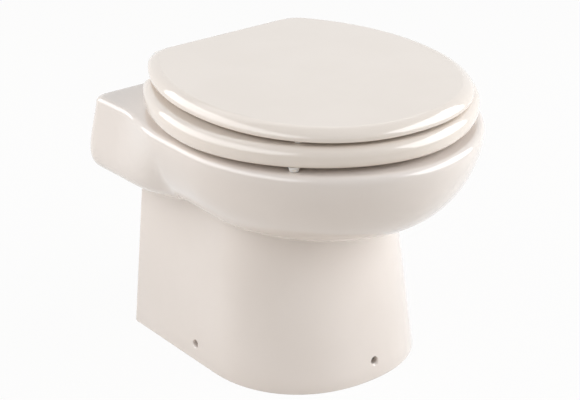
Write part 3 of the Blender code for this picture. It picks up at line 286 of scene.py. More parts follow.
def swept_rings(path, radius, sides=32):
    """Circles square to a path. The frame is carried from step to step without twisting."""
    path = np.array(path, dtype=float)
    ways = np.gradient(path, axis=0)
    ways /= np.linalg.norm(ways, axis=1)[:, None]
    guide = np.array(Vector(ways[0]).orthogonal().normalized())
    turn = np.linspace(0, 2 * math.pi, sides, endpoint=False)
    radii = np.broadcast_to(radius, len(path))
    rings = []
    for place, way, size in zip(path, ways, radii):
        guide = guide - way * np.dot(guide, way)
        guide /= np.linalg.norm(guide)
        across = np.cross(way, guide)
        rings.append(place + size * (np.outer(np.cos(turn), guide)
                                     + np.outer(np.sin(turn), across)))
    return rings


def rounded_box(name, low, high, edge, steps=3):
    """A box whose edges are bevelled into rounds of a given radius."""
    low, high = np.array(low, dtype=float), np.array(high, dtype=float)
    mesh = bpy.data.meshes.new(name)
    shell = bmesh.new()
    bmesh.ops.create_cube(shell, size=1)
    for corner in shell.verts:
        corner.co = Vector((low + high) / 2) + Vector(np.array(corner.co) * (high - low))
    bmesh.ops.bevel(shell, geom=shell.edges[:], offset=edge, segments=steps, profile=0.5,
                    affect="EDGES", clamp_overlap=True)
    shell.to_mesh(mesh)
    shell.free()
    return in_scene(name, smoothed(mesh))


def quarter(steps, start=0.0, end=90.0):
    """Even steps from one angle in degrees to another, in radians."""
    return np.radians(np.linspace(start, end, steps))


def edge_round(steps, power, start=0.0):
    """Shares of a rounded edge, inwards and upwards: 1 - cos(t)^(2/p) and sin(t)^(2/p)."""
    turn = quarter(steps, start)
    return list(zip(1 - np.abs(np.cos(turn)) ** (2 / power), np.sin(turn) ** (2 / power)))


def squircle(turn, power):
    """Where |u|^p + |v|^p = 1 at an angle: cos and sin, each to the power 2/p with its sign."""
    u, v = np.cos(turn), np.sin(turn)
    return np.sign(u) * np.abs(u) ** (2 / power), np.sign(v) * np.abs(v) ** (2 / power)


print("shape helpers ready")

# %% [markdown]
# Every new piece stands for one solid. One helper hides that solid and gives the piece its
# moving body and its finish, so no piece can be left behind when a joint turns.

# %% A piece in place of a solid
slots = {row["node"]: row["material_slot"] for row in frame["record"]["subparts"]}


def dress(piece, node):
    """A piece takes the place, the body and the finish of the solid that it stands for."""
    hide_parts(node)
    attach(piece, nodes[node]["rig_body"])
    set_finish(piece, slots[node])
    return piece


print("solids to dress:", len(slots))

# %% [markdown]
# ## The outline of the pan
# Seen from above, the pan is two shapes in one: a round bowl in front, and a wide ledge
# behind that carries the seat's hinges. Half of the outline runs from the middle of the
# rear to the middle of the front, and is mirrored. The ledge is a straight rear, a corner
# arc and a side that narrows to a waist. A smooth step then bends it out to the bowl's
# widest place, and a superellipse closes the front.

# %% Half outlines
rear_steps, corner_steps, waist_steps, bend_steps, front_steps = 14, 12, 8, 40, 84
quarter_steps = rear_steps + corner_steps + waist_steps + bend_steps


class HalfRing:
    """Half a plan outline: its points, the way out over the ledge, and two masks."""

    def __init__(self, x, y, out_x=None, out_y=None, ledge=None, front=None):
        none = np.zeros(len(x))
        self.x, self.y = x, y
        self.out_x, self.out_y = (none if out_x is None else out_x,
                                  none if out_y is None else out_y)
        self.ledge, self.front = (none if ledge is None else ledge,
                                  none if front is None else front)

    def ring(self, height):
        """The whole ring: the half, then its mirror image backwards."""
        half = np.stack([self.x, self.y, np.broadcast_to(height, self.x.shape)], 1)
        return np.concatenate([half, half[1:-1][::-1] * (-1, 1, 1)])

    def moved(self, x, y):
        return HalfRing(x, y, self.out_x, self.out_y, self.ledge, self.front)

    def towards(self, other, share):
        """Each point goes part of the way to its partner on another half ring."""
        return self.moved(self.x + (other.x - self.x) * share,
                          self.y + (other.y - self.y) * share)


def superellipse(half_width, widest_y, front_y, power, steps=front_steps):
    """x = a cos(t)^(2/p), y = widest + b sin(t)^(2/p), for t from 0 to a right angle."""
    turn = np.linspace(0, math.pi / 2, steps + 1)
    x = half_width * np.cos(turn) ** (2 / power)
    x[-1] = 0
    return turn, x, widest_y - (widest_y - front_y) * np.sin(turn) ** (2 / power)


def ledge_outline(half_side, widest_y, front_y, power, half_rear, half_waist, rear_y, corner,
                  bend_from, bend_to, smooth_bend):
    """Rear line, corner arc, line to the waist, smooth step 3w^2 - 2w^3 out, superellipse."""
    rear_x = np.linspace(0, 1, rear_steps, endpoint=False) * (half_rear - corner)
    turn = np.linspace(math.pi / 2, 0, corner_steps, endpoint=False)
    corner_y = rear_y - corner
    down = np.linspace(0, 1, waist_steps, endpoint=False)
    bend_y = np.linspace(bend_from, widest_y, bend_steps, endpoint=False)
    way = np.clip((bend_from - bend_y) / (bend_from - bend_to), 0, 1)
    eased = way * way * (3 - 2 * way) if smooth_bend else way
    sweep, front_x, curve_y = superellipse(half_side, widest_y, front_y, power)
    x = np.concatenate([rear_x, half_rear - corner + corner * np.cos(turn),
                        half_rear + (half_waist - half_rear) * down,
                        half_waist + (half_side - half_waist) * eased, front_x])
    y = np.concatenate([np.full(rear_steps, rear_y), corner_y + corner * np.sin(turn),
                        corner_y + (bend_from - corner_y) * down, bend_y, curve_y])
    sideways = np.ones(waist_steps + bend_steps + front_steps + 1)
    flat = np.ones(rear_steps + corner_steps + waist_steps)
    return HalfRing(x, y, np.concatenate([np.zeros(rear_steps), np.cos(turn), sideways]),
                    np.concatenate([np.ones(rear_steps), np.sin(turn), sideways * 0]),
                    np.concatenate([flat, 1 - eased, sweep * 0]),
                    np.concatenate([flat * 0, eased * 0, np.sin(sweep) ** 2]))


def egg_outline(half_width, widest_y, front_y, rear_y):
    """Two half ellipses of different lengths that meet at the widest place."""
    rear_turn = np.linspace(math.pi / 2, 0, quarter_steps, endpoint=False)
    front_turn = np.linspace(0, math.pi / 2, front_steps + 1)
    x = half_width * np.cos(np.concatenate([rear_turn, front_turn]))
    x[[0, -1]] = 0
    y = np.concatenate([widest_y + (rear_y - widest_y) * np.sin(rear_turn),
                        widest_y + (front_y - widest_y) * np.sin(front_turn)])
    return HalfRing(x, y)


print("half outlines of", quarter_steps + front_steps + 1, "points")

# %% [markdown]
# ## The pan's sizes
# The rim, the belly, the pedestal and the basin each follow a few sizes in metres. They are
# the sizes of the solid that this piece stands for, with more steps round every curve.

# %% Sizes of the pan
rim_height, rim_edge_radius = 0.3025, 0.0095
belly_bottom, ledge_bottom, belly_power, ledge_power = 0.2004, 0.2103, 1.705, 4.97
underside_drop, underside_front_drop = 0.010, 0.018
rim_widest_y, pedestal_corner = -0.009, 0.0069
ledge_side_lean, ledge_rear_lean = 0.0153, 0.0192
bend_rear_y, bend_front_y = 0.138, 0.046
# half width at the widest place, half width at the rear, front and rear of the pedestal
pedestal_foot = np.array([0.1307, 0.1292, -0.1097, 0.1869])
pedestal_top = np.array([0.1142, 0.1100, -0.0559, 0.1840])
pedestal_sizing_height, pedestal_widest_y, pedestal_power = 0.2396, 0.018, 2.19
foot_edge, china_wall, ceiling_height = 0.0015, 0.010, 0.174
lip_height, lip_wall, lip_round = 0.034, 0.008, 0.003
outlet_y, outlet_radius, throat_height = 0.055, 0.022, 0.150
spigot_radius, spigot_bottom, spigot_top = 0.030, 0.128, 0.143
channel_ceiling = rim_height - 0.0125
screw_hole_radius, screw_dimple_radius, screw_height = 0.0045, 0.0068, 0.0215
side_screw_y, front_screw_x = 0.056, 0.011
hinge_spacing, hinge_bolt_y, hinge_hole_radius = 0.068, 0.174, 0.0055
rinse_height, rinse_hole_radius = 0.274, 0.0085
# depth from the channel's ceiling to the throat, and width from the throat to the channel
basin_shares = ((0.00, 1.0), (0.10, 0.995), (0.20, 0.968), (0.31, 0.912), (0.41, 0.838),
                (0.47, 0.770), (0.52, 0.696), (0.57, 0.600), (0.632, 0.486), (0.706, 0.372),
                (0.794, 0.250), (0.89, 0.128), (0.97, 0.034), (1.0, 0.0))


def rim_outline(inset=0.0):
    """The rim seen from above, moved in by an inset."""
    return ledge_outline(0.185 - inset, rim_widest_y, -0.2078 + inset, 1.914, 0.1711 - inset,
                         0.1696 - inset, 0.1943 - inset, 0.0145 - inset / 2, bend_rear_y,
                         bend_front_y, True)


def pedestal_sizes(height):
    """The four sizes change evenly with height, so the walls are straight and tapered."""
    return pedestal_foot + (pedestal_top - pedestal_foot) * height / pedestal_sizing_height


def pedestal_section(height, inset, fixed_rear=None):
    """The pedestal at one height, moved in; its rear may be held at a place of its own."""
    half_side, half_rear, front_y, rear_y = pedestal_sizes(height)
    rear_y = rear_y - inset if fixed_rear is None else fixed_rear
    return ledge_outline(half_side - inset, pedestal_widest_y, front_y + inset, pedestal_power,
                         half_rear - inset, half_rear - inset, rear_y, pedestal_corner,
                         rear_y - pedestal_corner * 2, pedestal_widest_y, False)


def pedestal_outline(height, inset=0.0):
    """The pedestal's outline at one height, or at one height for each point."""
    return pedestal_section(0, inset).towards(
        pedestal_section(pedestal_sizing_height, inset), height / pedestal_sizing_height)


def opening_outline(offset=0.0):
    """The mouth of the bowl, moved out by an offset."""
    return egg_outline(0.138 + offset, -0.020, -0.161 - offset, 0.107 + offset)


def outlet_outline(radius):
    """A circle round the outlet."""
    return egg_outline(radius, outlet_y, outlet_y - radius, outlet_y + radius)


def basin_outline(width_share, offset=0.0):
    """Between the round throat and the egg under the flush channel."""
    top = egg_outline(0.170 + offset, -0.012, -0.1935 - offset, 0.142 + offset)
    return outlet_outline(outlet_radius + offset).towards(top, width_share)


print("pan: rim at", rim_height, "m, rear of the foot at", pedestal_foot[3], "m")

# %% [markdown]
# ## The pan as one closed skin
# The pan is one casting, so it is one skin that never ends: down the inside of the bowl,
# round the outlet, over the ceiling of the hollow pedestal, down its inner wall, under the
# foot, up the outside, under the belly and over the rim, where it meets its own start.

# %% Rings of the pan
def inner_rings():
    """From the rim's lip, round the hidden flush channel, down the basin to the outlet."""
    lip_bottom = rim_height - lip_height
    half_wall = lip_wall / 2
    rings = [opening_outline(lip_round * (1 - math.sin(turn))).ring(
        rim_height - lip_round * (1 - math.cos(turn)))
        for turn in np.linspace(0, math.pi / 2, 7)]
    rings += [opening_outline(half_wall - half_wall * math.cos(turn)).ring(
        lip_bottom + half_wall * (1 - math.sin(turn))) for turn in np.linspace(0, math.pi, 9)]
    rings.append(opening_outline(lip_wall).ring(channel_ceiling))
    basin = smooth_path(basin_shares, 4)
    rings += [basin_outline(width).ring(channel_ceiling - depth
                                        * (channel_ceiling - throat_height))
              for depth, width in basin]
    rings += [outlet_outline(outlet_radius).ring(spigot_bottom),
              outlet_outline(spigot_radius).ring(spigot_bottom),
              outlet_outline(spigot_radius).ring(spigot_top)]
    return rings


def hollow_rings():
    """Out under the basin, over the ceiling of the pedestal and down its inner wall."""
    funnel = smooth_path(basin_shares[10:13][::-1], 5)
    rings = [basin_outline(width, 0.006).ring(
        channel_ceiling - depth * (channel_ceiling - throat_height) - 0.009)
        for depth, width in funnel]
    return rings + [pedestal_outline(ceiling_height, china_wall).ring(ceiling_height),
                    pedestal_outline(0, china_wall).ring(0)]


def outer_rings():
    """From the foot up the pedestal, out under the belly and up to the rim's edge."""
    rings = [pedestal_outline(0, foot_edge * (1 - math.sin(turn))).ring(
        foot_edge * (1 - math.cos(turn))) for turn in np.linspace(0, math.pi / 2, 5)]
    rim = rim_outline()
    belly_level = belly_bottom + (ledge_bottom - belly_bottom) * rim.ledge
    drop = underside_drop + underside_front_drop * rim.front
    half_side, half_rear, _, rear_y = pedestal_sizes(belly_bottom)
    belly = ledge_outline(half_side, rim_widest_y, -0.1336, 1.914, half_rear, half_rear,
                          rear_y, pedestal_corner, bend_rear_y, rim_widest_y, False)
    post_level = belly_level - drop
    post = pedestal_outline(post_level)
    rings += [pedestal_outline(post_level * share).ring(post_level * share)
              for share in np.linspace(0.1, 1, 10)]
    for turn in np.linspace(math.radians(80), 0, 9)[:-1]:
        level = belly_level - drop * (1 - math.cos(turn))
        rings.append(post.towards(belly, 1 - math.sin(turn)).ring(level))
    power = belly_power + (ledge_power - belly_power) * rim.ledge
    start_level = rim_height - rim_edge_radius
    for turn in np.linspace(math.pi / 2, 0, 44):
        down = math.sin(turn) ** (2 / power)
        inward = 1 - math.cos(turn) ** (2 / power)
        lean = rim.ledge * down
        wide = rim.moved(rim.x + rim.out_x * ledge_side_lean * lean,
                         rim.y + rim.out_y * ledge_rear_lean * lean)
        level = start_level + (belly_level - start_level) * down
        rings.append(wide.towards(belly, inward).ring(level))
    rings += [rim_outline(rim_edge_radius * inward).ring(start_level + rim_edge_radius * upward)
              for inward, upward in edge_round(16, 2.5)[1:]]
    return rings


pan_rings = inner_rings() + hollow_rings() + outer_rings()
print("pan:", len(pan_rings), "rings")

# %% Skin and cut the pan
def screw_hole(name, centre, mouth, out, axis):
    """A hole that widens in a soft dimple where it meets the glaze; out is its way, 1 or -1."""
    return lathe(name, centre, [
        (screw_hole_radius, mouth - 0.02 * out), (screw_hole_radius, mouth - 0.0012 * out),
        (screw_dimple_radius, mouth + 0.0016 * out), (screw_dimple_radius, mouth + 0.01 * out)],
        0.0012, 5, axis)


def pan_cutters():
    """The open back, the three screw holes, the hinge holes and the rinse hole."""
    shelf = rim_height - 0.015
    cutters = [rounded_box("open_back", (-0.098, 0.154, -0.02), (0.098, 0.24, shelf), 0.003)]
    for side in (-1, 1):
        cutters.append(screw_hole(f"side_hole_{side}", (0, side_screw_y, screw_height),
                                  0.1288 * side, side, "x"))
        cutters.append(drill(f"hinge_hole_{side}", (hinge_spacing * side, hinge_bolt_y, 0),
                             hinge_hole_radius, 0.28, 0.31))
    cutters.append(screw_hole("front_hole", (front_screw_x, 0, screw_height), -0.1046, -1, "y"))
    cutters.append(drill("rinse_hole", (0, 0, rinse_height), rinse_hole_radius, 0.13, 0.16, "y"))
    return cutters


pan = skin("china_pan_glazed", pan_rings, wrap=True)
combine(pan, pan_cutters())
dress(pan, "china_pan")
print("pan:", len(pan.data.polygons), "faces")

# %% [markdown]
# ## Seat and lid
# Both follow one kind of outline: a straight rear, rounded rear corners, sides that are
# long arcs, and a superellipse in front. The two rear arcs meet where the corner's circle
# touches the side's circle from inside, which fixes where the corner's centre has to be.

# %% Outlines of the seat and the lid
plan_rear_steps, plan_corner_steps, plan_side_steps = 24, 30, 44
plan_front_steps = (quarter_steps + front_steps - plan_rear_steps - plan_corner_steps
                    - plan_side_steps)
lid_rear_y, lid_front_y, seat_rear_y = 0.1734, -0.1884, 0.140


def plan_outline(half_width, widest_y, front_y, power, side_radius, corner, rear_y, inset):
    """Arcs of radius R and r touch where the centres are R - r apart."""
    half_width, side_radius, rear_y = half_width - inset, side_radius - inset, rear_y - inset
    corner, front_y = corner - inset, front_y + inset
    centre_y = rear_y - corner
    centre_x = half_width - side_radius + math.sqrt((side_radius - corner) ** 2
                                                    - (centre_y - widest_y) ** 2)
    meet = math.atan2(centre_y - widest_y, centre_x - half_width + side_radius)
    turn = np.linspace(math.pi / 2, meet, plan_corner_steps, endpoint=False)
    side = np.linspace(meet, 0, plan_side_steps, endpoint=False)
    _, front_x, curve_y = superellipse(half_width, widest_y, front_y, power, plan_front_steps)
    x = np.concatenate([np.linspace(0, centre_x, plan_rear_steps, endpoint=False),
                        centre_x + corner * np.cos(turn),
                        half_width - side_radius + side_radius * np.cos(side), front_x])
    y = np.concatenate([np.full(plan_rear_steps, rear_y), centre_y + corner * np.sin(turn),
                        widest_y + side_radius * np.sin(side), curve_y])
    return HalfRing(x, y)


def seat_outline(inset=0.0):
    """The outside of the seat, moved in by an inset."""
    return plan_outline(0.1854, -0.0107, -0.1957, 1.876, 0.2477, 0.011, seat_rear_y, inset)


def lid_outline(inset=0.0):
    """The outside of the lid, moved in by an inset."""
    return plan_outline(0.1669, 0.0035, lid_front_y, 2.167, 0.2565, 0.0442, lid_rear_y, inset)


def seat_opening(offset=0.0):
    """The hole in the seat, moved out by an offset."""
    return egg_outline(0.112 + offset, -0.022, -0.136 - offset, 0.108 + offset)


print("seat from", seat_rear_y, "m, lid from", lid_rear_y, "to", lid_front_y, "m")

# %% [markdown]
# The seat is pressed thermoset: a full round over its outer edge, a dished top that leads
# in to the opening, and a small round underneath. Behind, each hinge lug is a barrel on the
# hinge's axis with a web that runs into the panel.

# %% Make the seat
seat_bottom, seat_thickness, seat_dish = 0.3093, 0.0221, 0.012
seat_top = seat_bottom + seat_thickness
hinge_y, hinge_height = 0.1805, 0.3337
web_reach, web_trim = 0.020, 0.0008
barrel_radius, pin_radius, post_width, lug_width = 0.0065, 0.004, 0.014, 0.013
running_gap, touch_gap = 0.0004, 0.0003


def seat_rings():
    """Elliptical round below, a wide round above, then a sunk dish and the opening's wall."""
    rings = [seat_outline(0.004 * (1 - math.cos(turn))).ring(
        seat_bottom + 0.008 * (1 - math.sin(turn))) for turn in quarter(9, 90, 0)]
    rings += [seat_outline(0.010 * inward).ring(seat_top - 0.010 * (1 - upward))
              for inward, upward in edge_round(16, 1.8)]
    crown = seat_outline(0.010)
    inner = seat_opening(seat_dish)
    rings += [crown.towards(inner, share).ring(seat_top - 0.0012 * share ** 2)
              for share in (0.03, 0.3, 0.6, 0.9, 0.985)]
    rings += [seat_opening(seat_dish * (1 - math.cos(turn))).ring(
        seat_top - 0.0012 - (seat_dish - 0.0012) * (1 - math.sin(turn)))
        for turn in quarter(10, 88, 0)]
    rings += [seat_opening(0.003 * (1 - math.cos(turn))).ring(
        seat_bottom + 0.003 * (1 - math.sin(turn))) for turn in quarter(6)]
    return rings


def hinge_lug(name, x, web_low, web_high, panel_y):
    """A barrel with rounded ends, and a web that runs into the panel."""
    half = lug_width / 2
    barrel = rod(f"{name}_barrel", (x, hinge_y, hinge_height), barrel_radius, -half, half, "x",
                 0.0012, 64)
    web = rounded_box(f"{name}_web", (x - half + web_trim, panel_y - web_reach, web_low),
                      (x + half - web_trim, hinge_y, web_high), 0.0012)
    return [barrel, web]


def pin_cutter(name, x):
    """The pin with its running gap, to bore a lug or a post with."""
    return drill(name, (x, hinge_y, hinge_height), pin_radius + running_gap, -0.02, 0.02, "x", 48)


seat = skin("seat_ring_moulded", seat_rings(), wrap=True)
seat_lug_x = hinge_spacing - post_width / 2 - running_gap - lug_width / 2
for side, word in hands:
    combine(seat, hinge_lug(f"seat_{word}", side * seat_lug_x, hinge_height - barrel_radius,
                            hinge_height - barrel_radius + 0.0058, seat_rear_y), "UNION")
    combine(seat, [pin_cutter(f"seat_{word}_bore", side * seat_lug_x)])
dress(seat, "seat_ring")
print("seat:", len(seat.data.polygons), "faces")

# %% [markdown]
# The lid is a solid plate. Its upright edge turns into a broad round, and the top has a
# crown of about half a millimetre, so that reflections bend slightly instead of lying flat.
# Underneath, a shallow panel is sunk inside a flat margin, as pressed lids have.

# %% Make the lid
lid_bottom, lid_thickness, lid_edge_round = 0.3361, 0.0141, 0.0132
lid_upright, lid_crown = 0.00423, 0.0006
lid_margin, panel_depth, panel_slope = 0.020, 0.0025, 0.006


def lid_rings():
    """Sunk panel, margin, under round, upright edge, broad round, then the crown c(1 - s^2)."""
    middle = np.array([0, (lid_rear_y + lid_front_y) / 2, 0])
    sunk = lid_outline(lid_margin).ring(lid_bottom + panel_depth)
    rings = [middle + (sunk - middle) * (share, share, 1) for share in (0.02, 0.4, 0.8, 0.97)]
    rings += [lid_outline(lid_margin - panel_slope * share).ring(
        lid_bottom + panel_depth * (1 - share * share * (3 - 2 * share)))
        for share in np.linspace(0, 1, 7)]
    rings += [lid_outline(0.002 * (1 - math.sin(turn))).ring(
        lid_bottom + 0.002 * (1 - math.cos(turn))) for turn in quarter(6)]
    rings += [lid_outline(lid_edge_round * inward).ring(
        lid_bottom + lid_upright + (lid_thickness - lid_upright) * upward)
        for inward, upward in edge_round(26, 1.55)]
    top = rings[-1]
    for share in (0.985, 0.9, 0.75, 0.6, 0.45, 0.3, 0.15, 0.02):
        crown = lid_crown * (1 - share * share)
        rings.append(middle + (top - middle) * (share, share, 1) + (0, 0, crown))
    return rings


lid = skin("lid_moulded", lid_rings())
lid_lug_x = hinge_spacing + post_width / 2 + running_gap + lug_width / 2
for side, word in hands:
    combine(lid, hinge_lug(f"lid_{word}", side * lid_lug_x, hinge_height + touch_gap,
                           hinge_height + touch_gap + 0.0075, lid_rear_y), "UNION")
    combine(lid, [pin_cutter(f"lid_{word}_bore", side * lid_lug_x)])
dress(lid, "lid")
print("lid:", len(lid.data.polygons), "faces")

# %% [markdown]
# ## Rubber bumpers
# Soft buttons keep the seat off the china and the lid off the seat. Each is a turned shape:
# a wide base pressed into the moulding, a waist, and a rounded foot that lands.

# %% Make the bumpers
def bumper(name):
    """Profile from the rounded foot up to the base, between the corners of the solid's box."""
    low, high = (np.array(corner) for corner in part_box(name))
    radius, height = (high[0] - low[0]) / 2, high[2] - low[2]
    centre = ((low[0] + high[0]) / 2, (low[1] + high[1]) / 2, low[2])
    button = lathe(f"{name}_moulded", centre, [
        (pole * 2, 0), (radius * 0.72, 0), (radius * 0.86, height * 0.3),
        (radius * 0.86, height * 0.55), (radius, height * 0.7), (radius, height),
        (pole * 2, height)], 0.0014, 6, sides=48)
    return dress(button, name)


bumpers = [bumper(name) for name in sorted(nodes) if "_bumper_" in name]
print("bumpers:", len(bumpers))

# %% [markdown]
# ## Shapes that the fittings share
# Under the ledge and inside the pedestal the toilet is a machine. Most of its fittings are
# turned, and two more shapes complete the set: screw threads, and flat pucks whose outline
# is a superellipse.

# %% Helpers for fittings
def threaded(name, centre, core, crest, pitch, low, high, axis="z", sides=40):
    """radius = core + depth * |2 fraction(place / pitch - turn) - 1|, faded at both ends."""
    side, up, along = axis_frame(axis)
    turn = np.linspace(0, 1, sides, endpoint=False)
    place = np.linspace(low, high, int((high - low) / pitch * 8))[:, None]
    saw = np.abs(2 * ((place / pitch - turn) % 1) - 1)
    fade = np.clip(np.minimum(place - low, high - place) / pitch, 0, 1)
    radius = core + (crest - core) * saw * fade
    circle = (np.outer(np.cos(2 * math.pi * turn), side)
              + np.outer(np.sin(2 * math.pi * turn), up))
    return skin(name, np.array(centre) + place[..., None] * along + radius[..., None] * circle)


def puck(name, centre, halves, power, half_thick, axis, edge=0.0008):
    """An outline |u|^p + |v|^p = 1 with a given half size along each of its two directions."""
    side, up, along = axis_frame(axis)
    turn = np.linspace(0, 2 * math.pi, 64, endpoint=False)
    u, v = squircle(turn, power)
    rings = []
    for end in (-1, 1):
        for round_turn in quarter(5, *((0, 90) if end < 0 else (90, 0))):
            inset = edge * (1 - math.sin(round_turn))
            place = end * (half_thick - edge * (1 - math.cos(round_turn)))
            rings.append(np.array(centre) + place * along + np.outer(u * (halves[0] - inset), side)
                         + np.outer(v * (halves[1] - inset), up))
    return skin(name, rings)


print("fitting helpers ready")

# %% [markdown]
# ## Hinges
# Each hinge is a moulded post that stands on a soft gasket, with a threaded stud through
# the china. A rubber washer and a wing nut hold it from below, and a domed steel pin
# carries one lug of the seat and one of the lid.

# %% Make the hinges
stud_hole = 0.0043


def hinge_post(x, word):
    """Foot disc, upright stem and barrel in one, over a threaded stud; bored for the pin."""
    post = rounded_box(f"post_{word}", (x - post_width / 2, 0.1715, 0.3068),
                       (x + post_width / 2, 0.1835, hinge_height), 0.0016)
    half = post_width / 2 - touch_gap
    combine(post, [
        rod(f"post_barrel_{word}", (x, hinge_y, hinge_height), barrel_radius, -half, half, "x",
            0.0012, 64),
        rod(f"post_foot_{word}", (x, hinge_bolt_y, 0.3046), 0.0085, 0, 0.003, "z", 0.0008, 64),
        threaded(f"post_stud_{word}", (x, hinge_bolt_y, 0), 0.0033, 0.004, 0.0016, 0.2686,
                 0.3062)], "UNION")
    return combine(post, [pin_cutter(f"post_bore_{word}", x)])


def wing_nut(x, word):
    """A hub with a broad collar and two rounded wings, bored for the stud."""
    top = 0.2839
    nut = lathe(f"wing_nut_{word}", (x, hinge_bolt_y, top), [
        (pole, 0), (0.0075, 0), (0.0075, -0.0025), (0.0064, -0.004), (0.006, -0.009),
        (pole, -0.009)], 0.0008, 4, sides=48)
    combine(nut, [puck(f"wing_{word}_{side}", (x + side * 0.0087, hinge_bolt_y, top - 0.00665),
                       (0.00635, 0.0053), 2.6, 0.0015, "y") for side in (-1, 1)], "UNION")
    return combine(nut, [drill(f"wing_bore_{word}", (x, hinge_bolt_y, top), stud_hole, -0.02,
                               0.01)])


pin_reach = post_width / 2 + running_gap + lug_width + touch_gap
for side, word in hands:
    x = side * hinge_spacing
    dress(hinge_post(x, word), f"hinge_post_{word}")
    dress(wing_nut(x, word), f"hinge_nut_{word}")
    dress(sleeve(f"foot_gasket_{word}", (x, hinge_bolt_y, 0.3028), stud_hole, 0.010, 0, 0.0015),
          f"post_gasket_{word}")
    dress(sleeve(f"stud_washer_{word}", (x, hinge_bolt_y, 0.2842), stud_hole, 0.0105, 0, 0.003,
                 edge=0.0009), f"hinge_washer_{word}")
    pin_profile = softened(
        [(pole, -pin_reach), (pin_radius, -pin_reach), (pin_radius, pin_reach),
         (0.0055, pin_reach), (0.0055, pin_reach + 0.0008), (0.0034, pin_reach + 0.0018),
         (pole, pin_reach + 0.002)], 0.0005, 4)
    dress(turned(f"domed_pin_{word}", (x, hinge_y, hinge_height), pin_profile * (1, side), "x",
                 sides=48), f"hinge_pin_{word}")
print("hinges: post, wing nut, gasket, washer and pin on each side")

# %% [markdown]
# ## Base tray
# A moulded plate lies inside the pedestal. Screws through the china bite into its three
# lugs, and a pillar at the back carries the rinse valve. The plate's edge follows the
# pedestal's own outline, a little further in.

# %% Make the tray
tray_inset, tray_rear_y = china_wall + 0.003, 0.168
tray_thickness, tray_edge, tray_root = 0.0040, 0.0009, 0.002
lug_height, pilot_radius, moulded_edge = 0.030, 0.0021, 0.0014


def tray_rings():
    """The pedestal's outline moved in, with a small round along the top edge."""
    rings = [pedestal_section(0, tray_inset, tray_rear_y).ring(0)]
    for turn in quarter(5):
        outline = pedestal_section(0, tray_inset + tray_edge * (1 - math.cos(turn)), tray_rear_y)
        rings.append(outline.ring(tray_thickness - tray_edge * (1 - math.sin(turn))))
    return rings


def make_tray():
    """Plate, two side lugs, a front lug and the pillar, with pilot holes for the screws."""
    tray = skin("moulded_tray", tray_rings())
    additions = [rounded_box("lug_front", (0, -0.0967, tray_root), (0.022, -0.0807, lug_height),
                             moulded_edge),
                 rounded_box("pillar", (0.042, 0.138, tray_root), (0.062, 0.158, 0.0617),
                             moulded_edge)]
    pilots = [drill("pilot_front", (front_screw_x, 0, screw_height), pilot_radius, -0.11, -0.086,
                    "y", 24)]
    for side in (-1, 1):
        low, high = sorted((side * 0.1017, side * 0.1177))
        additions.append(rounded_box(f"lug_{side}", (low, 0.045, tray_root),
                                     (high, 0.067, lug_height), moulded_edge))
        pilots.append(drill(f"pilot_{side}", (0, side_screw_y, screw_height), pilot_radius,
                            side * 0.107, side * 0.13, "x", 24))
    combine(tray, additions, "UNION")
    return combine(tray, pilots)


dress(make_tray(), "base_tray")
print("tray: plate, three lugs and a pillar")

# %% [markdown]
# ## Pump
# The macerator's housing is a moulded cup with a neck above, where the bowl empties into
# it, and a port on the side, where the pump pushes out. A flange with a gasket closes the
# front. All of them share the shaft's axis, so most are profiles spun round it.

# %% Make the pump's housing
pump_height, housing_front = 0.060, 0.0088
pump_axis = (0, 0, pump_height)
screw_ring_radius, port_y = 0.048, 0.0178
choke_ring_radius, choke_hole_radius = 0.022, 0.004
flange_radius, cup_radius, chamber_radius = 0.052, 0.044, 0.0385


def screw_places():
    """The four flange screws sit on a ring round the shaft, halfway between its quarters."""
    angle = np.radians([45, 135, 225, 315])
    return np.stack([screw_ring_radius * np.cos(angle), 0 * angle,
                     pump_height + screw_ring_radius * np.sin(angle)], 1)


def screw_holes(name):
    """Drills for the flange screws, one at each of their places."""
    return [drill(f"{name}_{k}", place, pilot_radius, -0.02, 0.03, "y", 24)
            for k, place in enumerate(screw_places())]


def make_housing():
    """The cup with its neck and port, then the chamber and the two bores cut out of them."""
    housing = lathe("moulded_housing", pump_axis, [
        (pole, housing_front), (flange_radius, housing_front), (flange_radius, 0.0148),
        (cup_radius, 0.0148), (cup_radius, 0.080), (pole, 0.080)], 0.0014, 5, "y", sides=96)
    port = rod("port", (0, port_y, pump_height), 0.013, -0.066, 0, "x", 0.0008, 64)
    combine(port, [drill("port_trim", pump_axis, 0.0526, -0.01, 0.0091, "y", 96)])
    neck = lathe("neck", (0, outlet_y, 0), [
        (pole, 0.060), (0.017, 0.0612), (0.0262, 0.0658), (0.030, 0.075), (0.030, 0.1205),
        (0.0303, 0.1215), (0.0303, 0.1235), (0.0298, 0.1245), (pole, 0.1245)], 0.004, 7, sides=80)
    combine(housing, [port, neck], "UNION")
    return combine(housing, [
        drill("chamber", pump_axis, chamber_radius, 0, 0.0745, "y", 96),
        drill("neck_bore", (0, outlet_y, 0), 0.0235, 0.060, 0.14, sides=72),
        drill("port_bore", (0, port_y, pump_height), 0.0095, -0.08, 0, "x", 48)]
        + screw_holes("housing_hole"))


